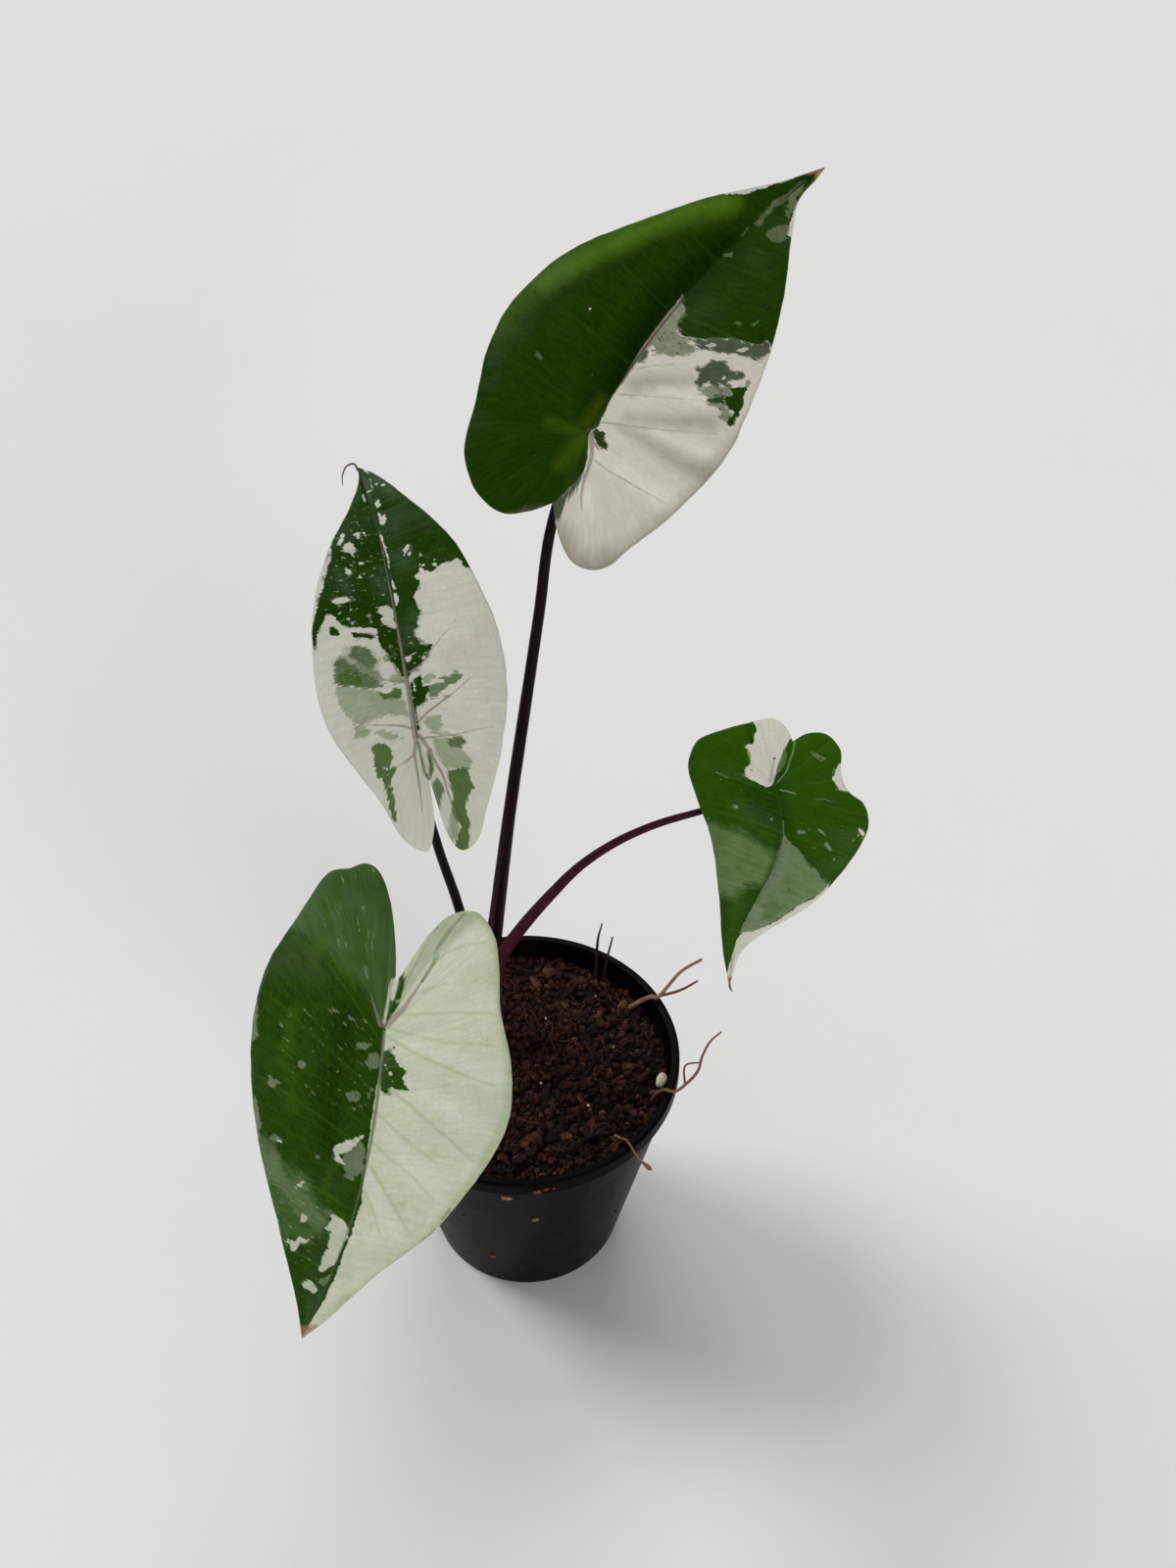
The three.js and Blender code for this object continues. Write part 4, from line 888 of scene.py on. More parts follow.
def area_distance(at, corners):
    """Signed distance in pixels from an outline, above 0 inside it."""
    corners = np.asarray(corners, float)
    best = np.full(len(at), np.inf)
    inside = np.zeros(len(at), bool)
    for a, b in zip(corners, np.roll(corners, -1, axis=0)):
        best = np.minimum(best, from_segment(at, a, b)[0])
        crosses = (a[1] > at[:, 1]) != (b[1] > at[:, 1])
        if crosses.any():
            where = (b[0] - a[0]) * (at[:, 1] - a[1]) / (b[1] - a[1]) + a[0]
            inside ^= crosses & (at[:, 0] < where)
    return np.where(inside, best, -best)


def stroke_distance(at, start_width, end_width, points):
    """Signed distance in pixels from a stroke's edge, above 0 inside it."""
    points = np.asarray(points, float)
    run = run_along(points)
    best = np.full(len(at), -np.inf)
    for i, (a, b) in enumerate(zip(points[:-1], points[1:])):
        gap, t = from_segment(at, a, b)
        width = mixed(start_width, end_width, mixed(run[i], run[i + 1], t) / run[-1])
        best = np.maximum(best, width / 2 - gap)
    return best


def marks_distance(at, marks):
    """Signed distance in pixels from a layer's shapes, above 0 inside them."""
    fields = [area_distance(at, area) for area in marks.areas]
    fields += [stroke_distance(at, *stroke) for stroke in marks.strokes]
    fields += [r - np.hypot(at[:, 0] - x, at[:, 1] - y) for x, y, r in marks.dots]
    return np.max(fields, axis=0)


# Leaf blades

def midrib_x(leaf, y):
    f = np.clip(y / leaf["tip"][1], 0, 1)
    bowed = leaf["bow"] * np.sin(np.pi * f) + leaf["sway"] * np.sin(2 * np.pi * f) + leaf["tip"][0] * f ** 3
    return np.where(y <= 0, leaf["notch"][0] * y / leaf["notch"][1], bowed)


def blade_height(leaf, x, y):
    """Height of the upper face over the leaf's own plane, as in the solids."""
    s = x - midrib_x(leaf, y)
    left = s < 0
    wave_height, wave_length, wave_phase = leaf["wave"]
    fold, curl, phase = (np.where(left, *pair) for pair in (leaf["fold"], leaf["curl"], wave_phase))
    valley = fold * (np.hypot(s, FOLD_ROUNDING) - FOLD_ROUNDING)
    droop = leaf["droop"] * np.maximum(y - leaf["droop_from"], 0) ** 2
    lobes = leaf["lobe_droop"] * np.maximum(-y, 0) ** 2
    swing = np.sin(2 * np.pi * y / wave_length + phase)
    return valley - curl * s * s - droop - lobes + wave_height * (s / WAVE_REACH) ** 2 * swing


def leaf_frame(leaf):
    """Rows: across the blade, along its midrib, and up off its face."""
    azimuth, elevation, roll = (math.radians(leaf[key]) for key in ("azimuth", "elevation", "roll"))
    along = np.array([math.cos(elevation) * math.cos(azimuth),
                      math.cos(elevation) * math.sin(azimuth), math.sin(elevation)])
    level = unit(np.cross(along, (0, 0, 1)))
    up = np.cross(level, along)
    across = level * math.cos(roll) + up * math.sin(roll)
    normal = up * math.cos(roll) - level * math.sin(roll)
    return np.array([across, along, normal])


def blade_ids():
    """One number for each point of the grid: the midrib, the notch line and the tip are shared."""
    ids = np.zeros((2, ROWS + 1, COLUMNS + 1), np.int64)
    ids[:, :, 0] = np.maximum(np.arange(ROWS + 1), LOBE_ROWS) - LOBE_ROWS
    ids[:, ROWS, :] = ROWS - LOBE_ROWS
    count = ROWS - LOBE_ROWS + 1
    for side in (0, 1):
        rows = range(side, ROWS)
        block = len(rows) * COLUMNS
        ids[side, rows[0]:ROWS, 1:] = count + np.arange(block).reshape(len(rows), COLUMNS)
        count += block
    ids[1, 0, 1:] = ids[0, 0, 1:]
    return ids, count


def blade_fields(leaf, seed, ids, count):
    """Where each point lies: x and y in the leaf's plane, its row's share, how far out on its row,
    the row's length, how far apart the side veins are there, and its side, 1 for the right."""
    share = np.arange(ROWS + 1) / ROWS
    root_y = leaf["tip"][1] * np.clip((3 * share - 1) / 2, 0, 1) ** ROOT_POWER
    roots = np.stack([midrib_x(leaf, root_y), root_y], 1)
    out = (np.arange(COLUMNS + 1) / COLUMNS) ** COLUMN_POWER
    field = {key: np.zeros(count) for key in ("x", "y", "share", "out", "length", "spacing", "side")}
    for side, key in ((1, "right"), (0, "left")):
        edge = even_points([leaf["notch"], *leaf[key], leaf["tip"]], ROWS)
        tangent = unit(np.gradient(edge, axis=0))
        ragged = EDGE_RAGGED * noise(edge, EDGE_LUMPS, seed, 2) * np.sin(np.pi * share) ** 0.3
        edge[1:-1] += (np.stack([-tangent[:, 1], tangent[:, 0]], 1) * ragged[:, None])[1:-1]
        grid = roots[:, None] + (edge - roots)[:, None] * out[None, :, None]
        row_step = np.gradient(grid, axis=0) * ROWS / VEINS
        along_row = unit(edge - roots + 1e-9)[:, None]
        across_row = row_step - (row_step * along_row).sum(-1, keepdims=True) * along_row
        values = {
            "x": grid[..., 0], "y": grid[..., 1], "share": share[:, None], "out": out[None],
            "length": np.linalg.norm(edge - roots, axis=1)[:, None],
            "spacing": np.linalg.norm(across_row, axis=-1), "side": side,
        }
        for name, value in values.items():
            field[name][ids[side]] = np.broadcast_to(value, ids[side].shape)
    field["out"][:ROWS - LOBE_ROWS + 1] = 0
    return field


def blade_faces(ids, count):
    """Both faces share their triangles, and a strip closes them along the margin."""
    faces = []
    for side in (0, 1):
        g = ids[side]
        a, b, c, d = (corner.ravel() for corner in (g[:-1, :-1], g[:-1, 1:], g[1:, 1:], g[1:, :-1]))
        halves = np.concatenate([np.stack([a, b, c], 1), np.stack([a, c, d], 1)])
        faces.append(halves if side == 1 else halves[:, ::-1])
    faces = np.concatenate(faces)
    real = (faces != np.roll(faces, -1, axis=1)).all(axis=1)
    faces = faces[real]
    rim = np.concatenate([ids[1, :, COLUMNS], ids[0, ROWS - 1:0:-1, COLUMNS]])
    after = np.roll(rim, -1)
    strip = np.concatenate([np.stack([rim, rim + count, after + count], 1),
                            np.stack([rim, after + count, after], 1)])
    return np.concatenate([faces, faces[:, ::-1] + count, strip])


def blade(leaf, seed):
    ids, count = blade_ids()
    field = blade_fields(leaf, seed, ids, count)
    x, y, spread, share, spacing = (field[key] for key in ("x", "y", "out", "share", "spacing"))
    s = x - midrib_x(leaf, y)
    along = np.clip(y / leaf["tip"][1], 0, 1)
    phase = share * VEINS
    nearest = np.clip(np.round(phase), 1, VEINS - 1)
    vein = np.abs(phase - nearest) * np.maximum(spacing, 0.5)
    on_rib = bell(np.minimum(y, 0), 2.5)
    edge_gap = (1 - spread) * field["length"]
    opened = np.clip(spacing / WIDE_SPACING, 0, 1)

    quilting = leaf["quilt"] * 0.5 * (1 - np.cos(2 * np.pi * phase)) * np.sin(np.pi * spread) * opened
    groove = GROOVE_DEPTH * bell(vein, GROOVE_WIDTH)
    groove *= np.sqrt(np.maximum(1 - spread, 0)) * smooth(0, 0.06, spread)
    channel = mixed(*CHANNEL_DEPTH, along) * bell(s, mixed(*CHANNEL_WIDTH, along)) * on_rib
    swell = leaf["swell"] * noise(np.stack([x, y], 1), SWELL_LUMPS, seed + 5, 2)
    swell *= np.clip(np.abs(s) / 25, 0, 1)
    ripple = RIPPLE_HEIGHT * noise(np.stack([share * ROWS / 2, s * 0.2], 1), RIPPLE_LUMPS, seed + 8, 2)
    ripple *= np.clip(np.abs(s) / 8, 0, 1) * opened
    upper = blade_height(leaf, x, y) + quilting - groove - channel + swell + ripple

    # The first two side veins of each half stand out most below.
    standing = np.where(nearest <= 2, mixed(1.0, 0.7, nearest - 1), mixed(0.5, 0.35, along))
    rib = mixed(*RIB_HEIGHT, along) * bell(s, mixed(*RIB_WIDTH, along)) * on_rib
    vein_rib = standing * mixed(*VEIN_HEIGHT, spread) * bell(vein, mixed(*VEIN_WIDTH, spread))
    vein_rib *= smooth(0, 1.8, edge_gap)
    collar = COLLAR_HEIGHT * bell(np.hypot(x, y), COLLAR_WIDTH)
    thickness = BLADE_THICKNESS * mixed(EDGE_SHARE, 1, smooth(0, EDGE_REACH, edge_gap))
    lower = upper - thickness - np.max([rib, vein_rib, collar], axis=0) - 0.25 * rib

    place = np.asarray(leaf["joint"], float)
    top, bottom = (place + np.stack([x, y, height], 1) @ leaf_frame(leaf) for height in (upper, lower))
    attributes = {
        "grain": np.stack([share * GRAIN_LENGTH, s, field["side"] * 40], 1),
        "leaf": np.stack([x, y, np.zeros(count)], 1),
        "vein_gap": vein, "spread": spread, "along": along, "rib_gap": np.abs(s) + 4 * (1 - on_rib),
        "edge_gap": edge_gap,
    }
    at, depth = to_pixels(top)
    for index, marks in enumerate(leaf["marks"]):
        distance = marks_distance(at, marks) * depth / FOCAL
        attributes[f"layer_{index}"] = np.clip(distance, -FIELD_REACH, FIELD_REACH)
    attributes = {key: np.concatenate([values, values]) for key, values in attributes.items()}
    attributes["under"] = np.concatenate([np.zeros(count), np.ones(count)])
    points = np.concatenate([top, bottom])
    return new_mesh(f"leaf_{leaf['name']}", points, blade_faces(ids, count), attributes)


# Stalks

def round_section(t, turn):
    return np.ones(np.broadcast(t, turn).shape), 0


def sheath_section(groove):
    """A sheath that is open to the front low down, with thin raised edges, and closes above."""
    def section(t, turn):
        opened = smooth(0, SHEATH_CLOSING, groove - t)
        rim = bell(turn - LIP_PLACE, LIP_TURN)
        size = 1 - CHANNEL_CUT * opened * bell(turn, CHANNEL_TURN) + LIP_HEIGHT * opened * rim
        return size, opened * rim
    return section


def loft(route, radii, facing, steps=160, sides=40, section=round_section, rough=0.0, seed=0):
    """A closed tube along a route: its points, faces and attributes. A section gives its size and
    its share of raised edge, for a place along it and a turn from its front."""
    centres = curve_points(route, steps)
    t = np.linspace(0, 1, steps + 1)
    radius = np.interp(t, np.linspace(0, 1, len(radii)), radii)
    if len(radii) > 2:
        # A soft average takes the corners out of the radius.
        kernel = np.hanning(9)
        radius = np.convolve(np.pad(radius, 4, "edge"), kernel / kernel.sum(), "valid")
    tangent = unit(np.gradient(centres, axis=0))
    across = unit(np.cross(tangent, facing))
    front = unit(np.cross(across, tangent))
    angle = circle(sides)
    cos, sin = np.cos(angle), np.sin(angle)
    size, edge = section(t[:, None], np.minimum(angle, 2 * np.pi - angle)[None])
    run = run_along(centres)
    skin = np.stack(np.broadcast_arrays(3 * cos[None], 3 * sin[None], run[:, None]), -1)
    reach = radius[:, None] * size * (1 + rough * noise(skin * (1, 1, 0.5), 2.2, seed, 2))
    ways = cos[None, :, None] * front[:, None] + sin[None, :, None] * across[:, None]
    points = centres[:, None] + reach[..., None] * ways
    hub = (steps + 1) * sides
    faces = [wall_faces(steps + 1, sides), np.concatenate([
        fan_faces(hub, 0, sides, forward=False), fan_faces(hub + 1, steps * sides, sides)])]
    ends = [centres[0], centres[-1] + tangent[-1] * radius[-1] * 0.5]
    attributes = {
        "skin": np.concatenate([skin.reshape(-1, 3), [[0, 0, 0], [0, 0, run[-1]]]]),
        "along": np.concatenate([np.repeat(t, sides), [0, 1]]),
        "edge": np.concatenate([np.broadcast_to(edge, size.shape).ravel(), [0, 0]]),
    }
    return np.concatenate([points.reshape(-1, 3), ends]), faces, attributes


def stalk(leaf, seed):
    """A leaf's stalk, whose top runs a little into the blade's underside."""
    spec = leaf["stalk"]
    route = np.array(spec["route"], float)
    route[-1] -= 1.7 * leaf_frame(leaf)[2]
    radii = list(spec["radii"])
    radii[-1] *= 0.75
    made = loft(route, radii, spec["facing"], 200, 40, sheath_section(spec["groove"]), 0.025, seed)
    return new_mesh(f"stalk_{leaf['name']}", *made)


def tail(leaf, turns_to, radius, seed):
    """The thin drawn-out point of a leaf, bent aside. The turns are mm across, along and up."""
    rows = leaf_frame(leaf)
    x, y = leaf["tip"]
    height = float(blade_height(leaf, np.array(float(x)), np.array(float(y))))
    start = np.array([x, y - 1.5, height - 0.4])
    route = [leaf["joint"] + (start + turn) @ rows for turn in [(0, 0, 0), *turns_to]]
    radii = (radius, radius * 0.8, radius * 0.4)
    return new_mesh(f"tip_{leaf['name']}", *loft(route, radii, rows[2], 40, 10, rough=0.05, seed=seed))


# Pot and stem

def lathe(profile, sides, wobble=0.0, seed=0):
    """Turns (radius, height) pairs round Z. The first and the last pair close the ends on the axis."""
    profile = np.asarray(profile, float)
    body = profile[1:-1]
    angle = circle(sides)
    ring = np.stack([np.cos(angle), np.sin(angle)], 1)
    oval = 1 + wobble * noise(ring * 40, 33.0, seed)
    flat = body[:, None, :1] * ring[None] * oval[None, :, None]
    heights = np.broadcast_to(body[:, None, 1:], (*flat.shape[:2], 1))
    points = np.concatenate([flat, heights], -1).reshape(-1, 3)
    hub, top = len(points), (len(body) - 1) * sides
    caps = np.concatenate([fan_faces(hub, 0, sides, forward=False), fan_faces(hub + 1, top, sides)])
    ends = [[0, 0, profile[0, 1]], [0, 0, profile[-1, 1]]]
    return np.concatenate([points, ends]), [wall_faces(len(body), sides), caps]


def outside_radius(z):
    return mixed(POT_BASE, POT_SHOULDER, np.clip((z - 1.2) / (POT_LIP - 2.2), 0, 1))


def inside_radius(z):
    return mixed(POT_BASE, POT_SHOULDER, z / POT_LIP) - POT_WALL


def arc(centre, radius, start, end, count):
    a = np.radians(np.linspace(start, end, count))
    return list(zip(centre[0] + radius * np.cos(a), centre[1] + radius * np.sin(a)))


def drain_cutter():
    holes = []
    for i in range(DRAIN_COUNT):
        a = (i + 0.5) / DRAIN_COUNT * 2 * math.pi
        hole, faces = lathe([(0, -3), (DRAIN_RADIUS, -3), (DRAIN_RADIUS, 5), (0, 5)], 32)
        hole += (math.cos(a) * DRAIN_CIRCLE, math.sin(a) * DRAIN_CIRCLE, 0)
        holes.append((hole, faces, {}))
    return new_mesh("drain_cutter", *joined(holes))


def pot():
    """The profile runs out under the base, up the wall, over the stepped rim and down inside."""
    mouth = inside_radius(POT_LIP)
    profile = [(0, 0), (12, 0), (30, 0), (37.2, 0), (37.8, 0), (38.6, 0.35)]
    profile += [(outside_radius(z), z) for z in np.linspace(1.2, POT_LIP - 1.6, 44)]
    profile += [(60.3, 98.9), (60.7, 99.3), (61.5, 99.6), (62.1, 99.8), (62.4, 100.2), (62.5, 100.9)]
    profile += [(POT_RIM, z) for z in np.linspace(101.8, 105.2, 5)]
    profile += arc((POT_RIM - 1, POT_HEIGHT - 1), 1.0, 10, 90, 7)
    profile += [(61.0, POT_HEIGHT), (60.4, POT_HEIGHT), (60.0, POT_HEIGHT)]
    profile += arc((59.75, POT_HEIGHT - 0.6), 0.6, 90, 180, 5)
    profile += [(mouth + 0.4, 105.4), (mouth + 0.35, 102), (mouth + 0.1, 100.6), (mouth, POT_LIP)]
    profile += [(inside_radius(z), z) for z in np.linspace(POT_LIP - 0.6, POT_FLOOR + 0.6, 24)]
    profile += [(37.2, POT_FLOOR), (25, POT_FLOOR), (0, POT_FLOOR)]
    obj = new_mesh("nursery_pot", *lathe(profile, POT_SIDES, 0.0022, 3))
    cutter = drain_cutter()
    cut = obj.modifiers.new("drains", "BOOLEAN")
    cut.operation, cut.solver, cut.object = "DIFFERENCE", "EXACT", cutter
    graph = bpy.context.evaluated_depsgraph_get()
    drilled = bpy.data.meshes.new_from_object(obj.evaluated_get(graph))
    obj.modifiers.clear()
    obj.data = drilled
    bpy.data.objects.remove(cutter)
    drilled.polygons.foreach_set("use_smooth", np.ones(len(drilled.polygons), bool))
    drilled.set_sharp_from_angle(angle=math.radians(40))
    return obj


def stem():
    heights = np.linspace(STEM_FOOT, STEM_TOP, 90)
    t = (heights - STEM_FOOT) / (STEM_TOP - STEM_FOOT)
    scars = (t * STEM_RINGS + 0.6) % 1
    radius = mixed(*STEM_RADII, t * t) + 0.32 * bell(scars - 0.5, 0.09) - 0.12 * bell(scars - 0.62, 0.07)
    profile = [(0, STEM_FOOT), *zip(radius, heights), (0, STEM_TOP + 0.6)]
    points, faces = lathe(profile, 72, 0.03, 31)
    return new_mesh("stem_base", points + (*STEM_PLACE, 0), faces)


# Potting mix

def mix_height(x, y):
    gap = inside_radius(MIX_LEVEL) - np.hypot(x, y)
    at = np.stack([x, y], -1)
    lumps = 1.5 * noise(at, 9.0, 11, 2) + 0.9 * noise(at, 3.4, 12)
    mound = 1.4 * bell(np.hypot(x - STEM_PLACE[0], y - STEM_PLACE[1]), 13)
    return MIX_LEVEL + lumps * np.clip(gap / 6, 0.25, 1) + mound - 0.8 * bell(gap, 2.5)


def mix_bed():
    """The body of the mix, whose rough top reaches a little into the pot's wall."""
    rings, spokes = 52, 190
    angle = circle(spokes)
    radius = (inside_radius(MIX_LEVEL) + 0.5) * np.linspace(1 / rings, 1, rings)
    x, y = (radius[:, None] * f(angle)[None] for f in (np.cos, np.sin))
    top = np.stack([x, y, mix_height(x, y)], -1).reshape(-1, 3)
    foot_z = POT_FLOOR + 0.35
    foot_r = inside_radius(foot_z) + 0.5
    foot = np.stack([np.cos(angle) * foot_r, np.sin(angle) * foot_r, np.full(spokes, foot_z)], -1)
    hubs = [[0, 0, float(mix_height(np.array(0.0), np.array(0.0)))], [0, 0, foot_z]]
    points = np.concatenate([top, foot, hubs])
    hub = len(points) - 2
    faces = [wall_faces(rings + 1, spokes, outward=False), np.concatenate([
        fan_faces(hub, 0, spokes), fan_faces(hub + 1, rings * spokes, spokes, forward=False)])]
    return points, faces, {"tint": 0.1 + 0.15 * noise(points, 5.0, 13), "lump": points}


def ball(levels):
    """Points and triangles of a round ball of radius 1, from one with twenty faces."""
    g = (1 + 5 ** 0.5) / 2
    points = unit([(-1, g, 0), (1, g, 0), (-1, -g, 0), (1, -g, 0), (0, -1, g), (0, 1, g),
                   (0, -1, -g), (0, 1, -g), (g, 0, -1), (g, 0, 1), (-g, 0, -1), (-g, 0, 1)])
    faces = np.array([(0, 11, 5), (0, 5, 1), (0, 1, 7), (0, 7, 10), (0, 10, 11),
                      (1, 5, 9), (5, 11, 4), (11, 10, 2), (10, 7, 6), (7, 1, 8),
                      (3, 9, 4), (3, 4, 2), (3, 2, 6), (3, 6, 8), (3, 8, 9),
                      (4, 9, 5), (2, 4, 11), (6, 2, 10), (8, 6, 7), (9, 8, 1)])
    for _ in range(levels):
        edges = np.sort(np.concatenate([faces[:, [0, 1]], faces[:, [1, 2]], faces[:, [2, 0]]]), axis=1)
        unique, place = np.unique(edges, axis=0, return_inverse=True)
        ab, bc, ca = len(points) + place.reshape(3, -1)
        points = np.concatenate([points, unit(points[unique].mean(1))])
        a, b, c = faces.T
        quarters = ((a, ab, ca), (b, bc, ab), (c, ca, bc), (ab, bc, ca))
        faces = np.concatenate([np.stack(corners, 1) for corners in quarters])
    return points, faces


def block():
    """Points and triangles of a cube with rounded corners, 2 by 2 squares on each face."""
    grid = np.array([(i, j, k) for i in (-1, 0, 1) for j in (-1, 0, 1) for k in (-1, 0, 1)
                     if (i, j, k) != (0, 0, 0)], float)
    number = {tuple(p.astype(int)): n for n, p in enumerate(grid)}
    faces = []
    for axis, way, a, b in np.ndindex(3, 2, 2, 2):
        corners = []
        for da, db in ((0, 0), (1, 0), (1, 1), (0, 1)):
            corner = [0, 0, 0]
            corner[axis] = 2 * way - 1
            corner[(axis + 1) % 3], corner[(axis + 2) % 3] = a - 1 + da, b - 1 + db
            corners.append(number[tuple(corner)])
        corners = corners if way else corners[::-1]
        faces += [corners[:3], [corners[0], corners[2], corners[3]]]
    return mixed(grid, unit(grid) * 1.25, 0.55), np.array(faces)


def rotations(axis, angle):
    c, s = np.cos(angle), np.sin(angle)
    m = np.zeros((len(angle), 3, 3))
    i, j = (axis + 1) % 3, (axis + 2) % 3
    m[:, axis, axis] = 1
    m[:, i, i] = m[:, j, j] = c
    m[:, i, j], m[:, j, i] = -s, s
    return m


def turns(rng, count, tilt):
    """Rotation matrices: any way round, tilted by about tilt radians from level."""
    yaw = rng.uniform(0, 2 * np.pi, count)
    lean = np.abs(rng.normal(0, tilt, count))
    way = rng.uniform(0, 2 * np.pi, count)
    roll = rng.normal(0, tilt, count)
    return rotations(2, way) @ rotations(1, lean) @ rotations(2, yaw) @ rotations(0, roll)


def from_grain(places):
    return np.hypot(places[:, 0] - GRAIN_PLACE[0], places[:, 1] - GRAIN_PLACE[1])


def chips(rng, places, sizes, tints, tilt, seed, lift=0.25):
    """Bits of husk as dented blocks with rounded corners. They sink under the pale grain."""
    shape, faces = block()
    count = len(places)
    dents = rng.uniform(0.70, 1.14, (count, len(shape), 1))
    blobs = shape[None] * sizes[:, None] / 2 * dents
    blobs = np.einsum("nij,nkj->nki", turns(rng, count, tilt), blobs)
    z = mix_height(places[:, 0], places[:, 1]) + lift * sizes[:, 2] - 3.0 * (from_grain(places) < 4.5)
    points = blobs + np.stack([places[:, 0], places[:, 1], z], 1)[:, None]
    every = faces[None] + (np.arange(count) * len(shape))[:, None, None]
    own = blobs + (hashed(np.stack([np.arange(count)] * 2, 1), seed)[:, None] * 40)[:, None]
    attributes = {"tint": np.repeat(tints, len(shape)), "lump": own.reshape(-1, 3)}
    return points.reshape(-1, 3), [every.reshape(-1, 3)], attributes


def disc(rng, count, radius):
    a = rng.uniform(0, 2 * np.pi, count)
    r = radius * np.sqrt(rng.uniform(0, 1, count))
    return np.stack([r * np.cos(a), r * np.sin(a)], 1)


def chip_sizes(rng, length, width, height):
    """Sizes from the chips' lengths and the spans of their width and height as shares of these."""
    return np.stack([length, length * rng.uniform(*width, len(length)),
                     length * rng.uniform(*height, len(length))], 1)


def fibre(route, radii, tint, steps, sides, rough=0.0, seed=0):
    points, faces, made = loft(route, radii, (0.3, 0.2, 1), steps, sides, rough=rough, seed=seed)
    return points, faces, {"tint": np.full(len(points), tint), "lump": made["skin"]}


def short_fibres(rng):
    """Bent fibres that lie on the mix, where they stay inside the pot."""
    made = []
    for _ in range(FIBRES):
        start = disc(rng, 1, FIBRES_START)[0]
        way, reach = rng.uniform(0, 2 * np.pi), rng.uniform(4, 13)
        step = np.array([math.cos(way), math.sin(way)]) * reach / 3
        bend = np.array([-step[1], step[0]]) * rng.uniform(-0.7, 0.7)
        flat = [start + step * k + bend * k * k / 3 for k in range(4)]
        if max(np.hypot(*p) for p in flat) > FIBRES_REACH:
            continue
        lifts = np.abs(rng.normal(0.8, 0.7, 4)) + 0.3
        route = [(*p, float(mix_height(*p)) + lift) for p, lift in zip(flat, lifts)]
        radius = rng.uniform(0.12, 0.3)
        made.append(fibre(route, (radius, radius, radius * 0.5), rng.uniform(0.45, 1.0), 9, 5))
    return made


def potting_mix():
    """The bed with small chips, large flat chips, white specks and short fibres on it."""
    rng = np.random.default_rng(41)
    places = disc(rng, CHIPS, CHIPS_REACH)
    length = np.clip(rng.lognormal(0.92, 0.26, CHIPS), 1.4, 5)
    sizes = chip_sizes(rng, length, (0.5, 0.9), (0.35, 0.7))
    tints = rng.beta(2.4, 2.8, CHIPS)
    parts = [mix_bed(), chips(rng, places, sizes, tints, 0.6, 1, rng.uniform(0.0, 0.7, CHIPS))]

    places = disc(rng, LARGE_CHIPS, LARGE_REACH)
    sizes = chip_sizes(rng, rng.uniform(4.5, 7.0, LARGE_CHIPS), (0.4, 0.65), (0.2, 0.32))
    from_stem = np.hypot(places[:, 0] - STEM_PLACE[0], places[:, 1] - STEM_PLACE[1])
    clear = (from_stem > 12) & (from_grain(places) > 9)
    tints = rng.beta(2, 2.6, LARGE_CHIPS)
    parts.append(chips(rng, places[clear], sizes[clear], tints[clear], 0.25, 2, 0.4))

    large = [(8.8, 24.1), (7.2, -7.6), (26.2, -19.6)]
    places = np.concatenate([large, disc(rng, SPECKS, SPECKS_REACH)])
    sizes = np.array([(1.1, 0.9, 0.8)] * len(large) + [(0.7, 0.6, 0.5)] * SPECKS)
    parts.append(chips(rng, places, sizes, np.full(len(places), 1.6), 0.5, 3, 1.6))
    parts += short_fibres(rng)
    return new_mesh("husk_mix_bed", *joined(parts), shade=False)


# Long fibres that reach out of the mix or arch over it: tint, radii along each, and its route.
LONG_FIBRES = [
    (1.15, (0.9, 0.85, 0.6), [(41, 31, 96), (48.6, 28.8, 105.6), (51.6, 27.4, 109.1), (54.7, 27.6, 109.2),
                              (58, 30.6, 111), (64, 36, 115), (72.4, 39.8, 118)]),
    (1.0, (0.6, 0.6, 0.4), [(54.7, 27.6, 109.2), (64, 30, 110.5), (70.7, 32.6, 113)]),
    (1.1, (0.6, 0.6, 0.6, 0.35), [(50.5, -16, 96), (53.8, -17.4, 105.4), (56.2, -18.9, 108.9),
                                  (60, -20, 109.1), (64, -17.7, 110.2), (69.1, -13.1, 113),
                                  (71.1, -8.4, 117), (74.2, -4.5, 121), (78.4, -2.2, 124)]),
    (1.0, (0.45, 0.4, 0.3), [(64, -17.7, 110.2), (64.4, -9.9, 112.3), (70.2, -10.4, 115.2)]),
    (1.1, (0.55, 0.5, 0.45, 0.4, 0.42, 0.5, 1.0, 0.85, 0.2), [
        (36, -31, 96), (39.3, -39.9, 105.4), (40.9, -43, 108.8), (42.6, -46.3, 109.1),
        (43.8, -49.1, 109.3), (46.6, -52.1, 107.8), (48.9, -53.4, 106.1), (49.6, -53.8, 105.6),
        (50.3, -54.2, 105.1)]),
    (0.5, (0.7, 0.6, 0.3), [(29, 46, 96), (29.4, 48.6, 104), (29.7, 50.6, 112), (30.4, 52.5, 118),
                            (31.8, 54, 124)]),
    (0.5, (0.6, 0.5, 0.3), [(32.6, 43.5, 96), (33, 46, 104), (34, 48, 109.5), (35.2, 50.3, 114),
                            (36.2, 52, 118)]),
    (0.55, (0.5, 0.55, 0.4), [(1, 30, 98), (3, 27, 100), (4.5, 23.5, 100.6), (6, 20, 100),
                              (6.5, 17, 98.5)]),
    (0.5, (0.5, 0.6, 0.4), [(9, 26, 98), (10, 22.5, 100), (11.5, 18, 101), (11, 12, 101),
                            (13, 6, 100.6), (14, 2, 98.5)]),
]


def long_fibres():
    parts = [fibre(route, radii, tint, 60, 10, 0.16, 60 + index)
             for index, (tint, radii, route) in enumerate(LONG_FIBRES)]
    return new_mesh("husk_fibres", *joined(parts))


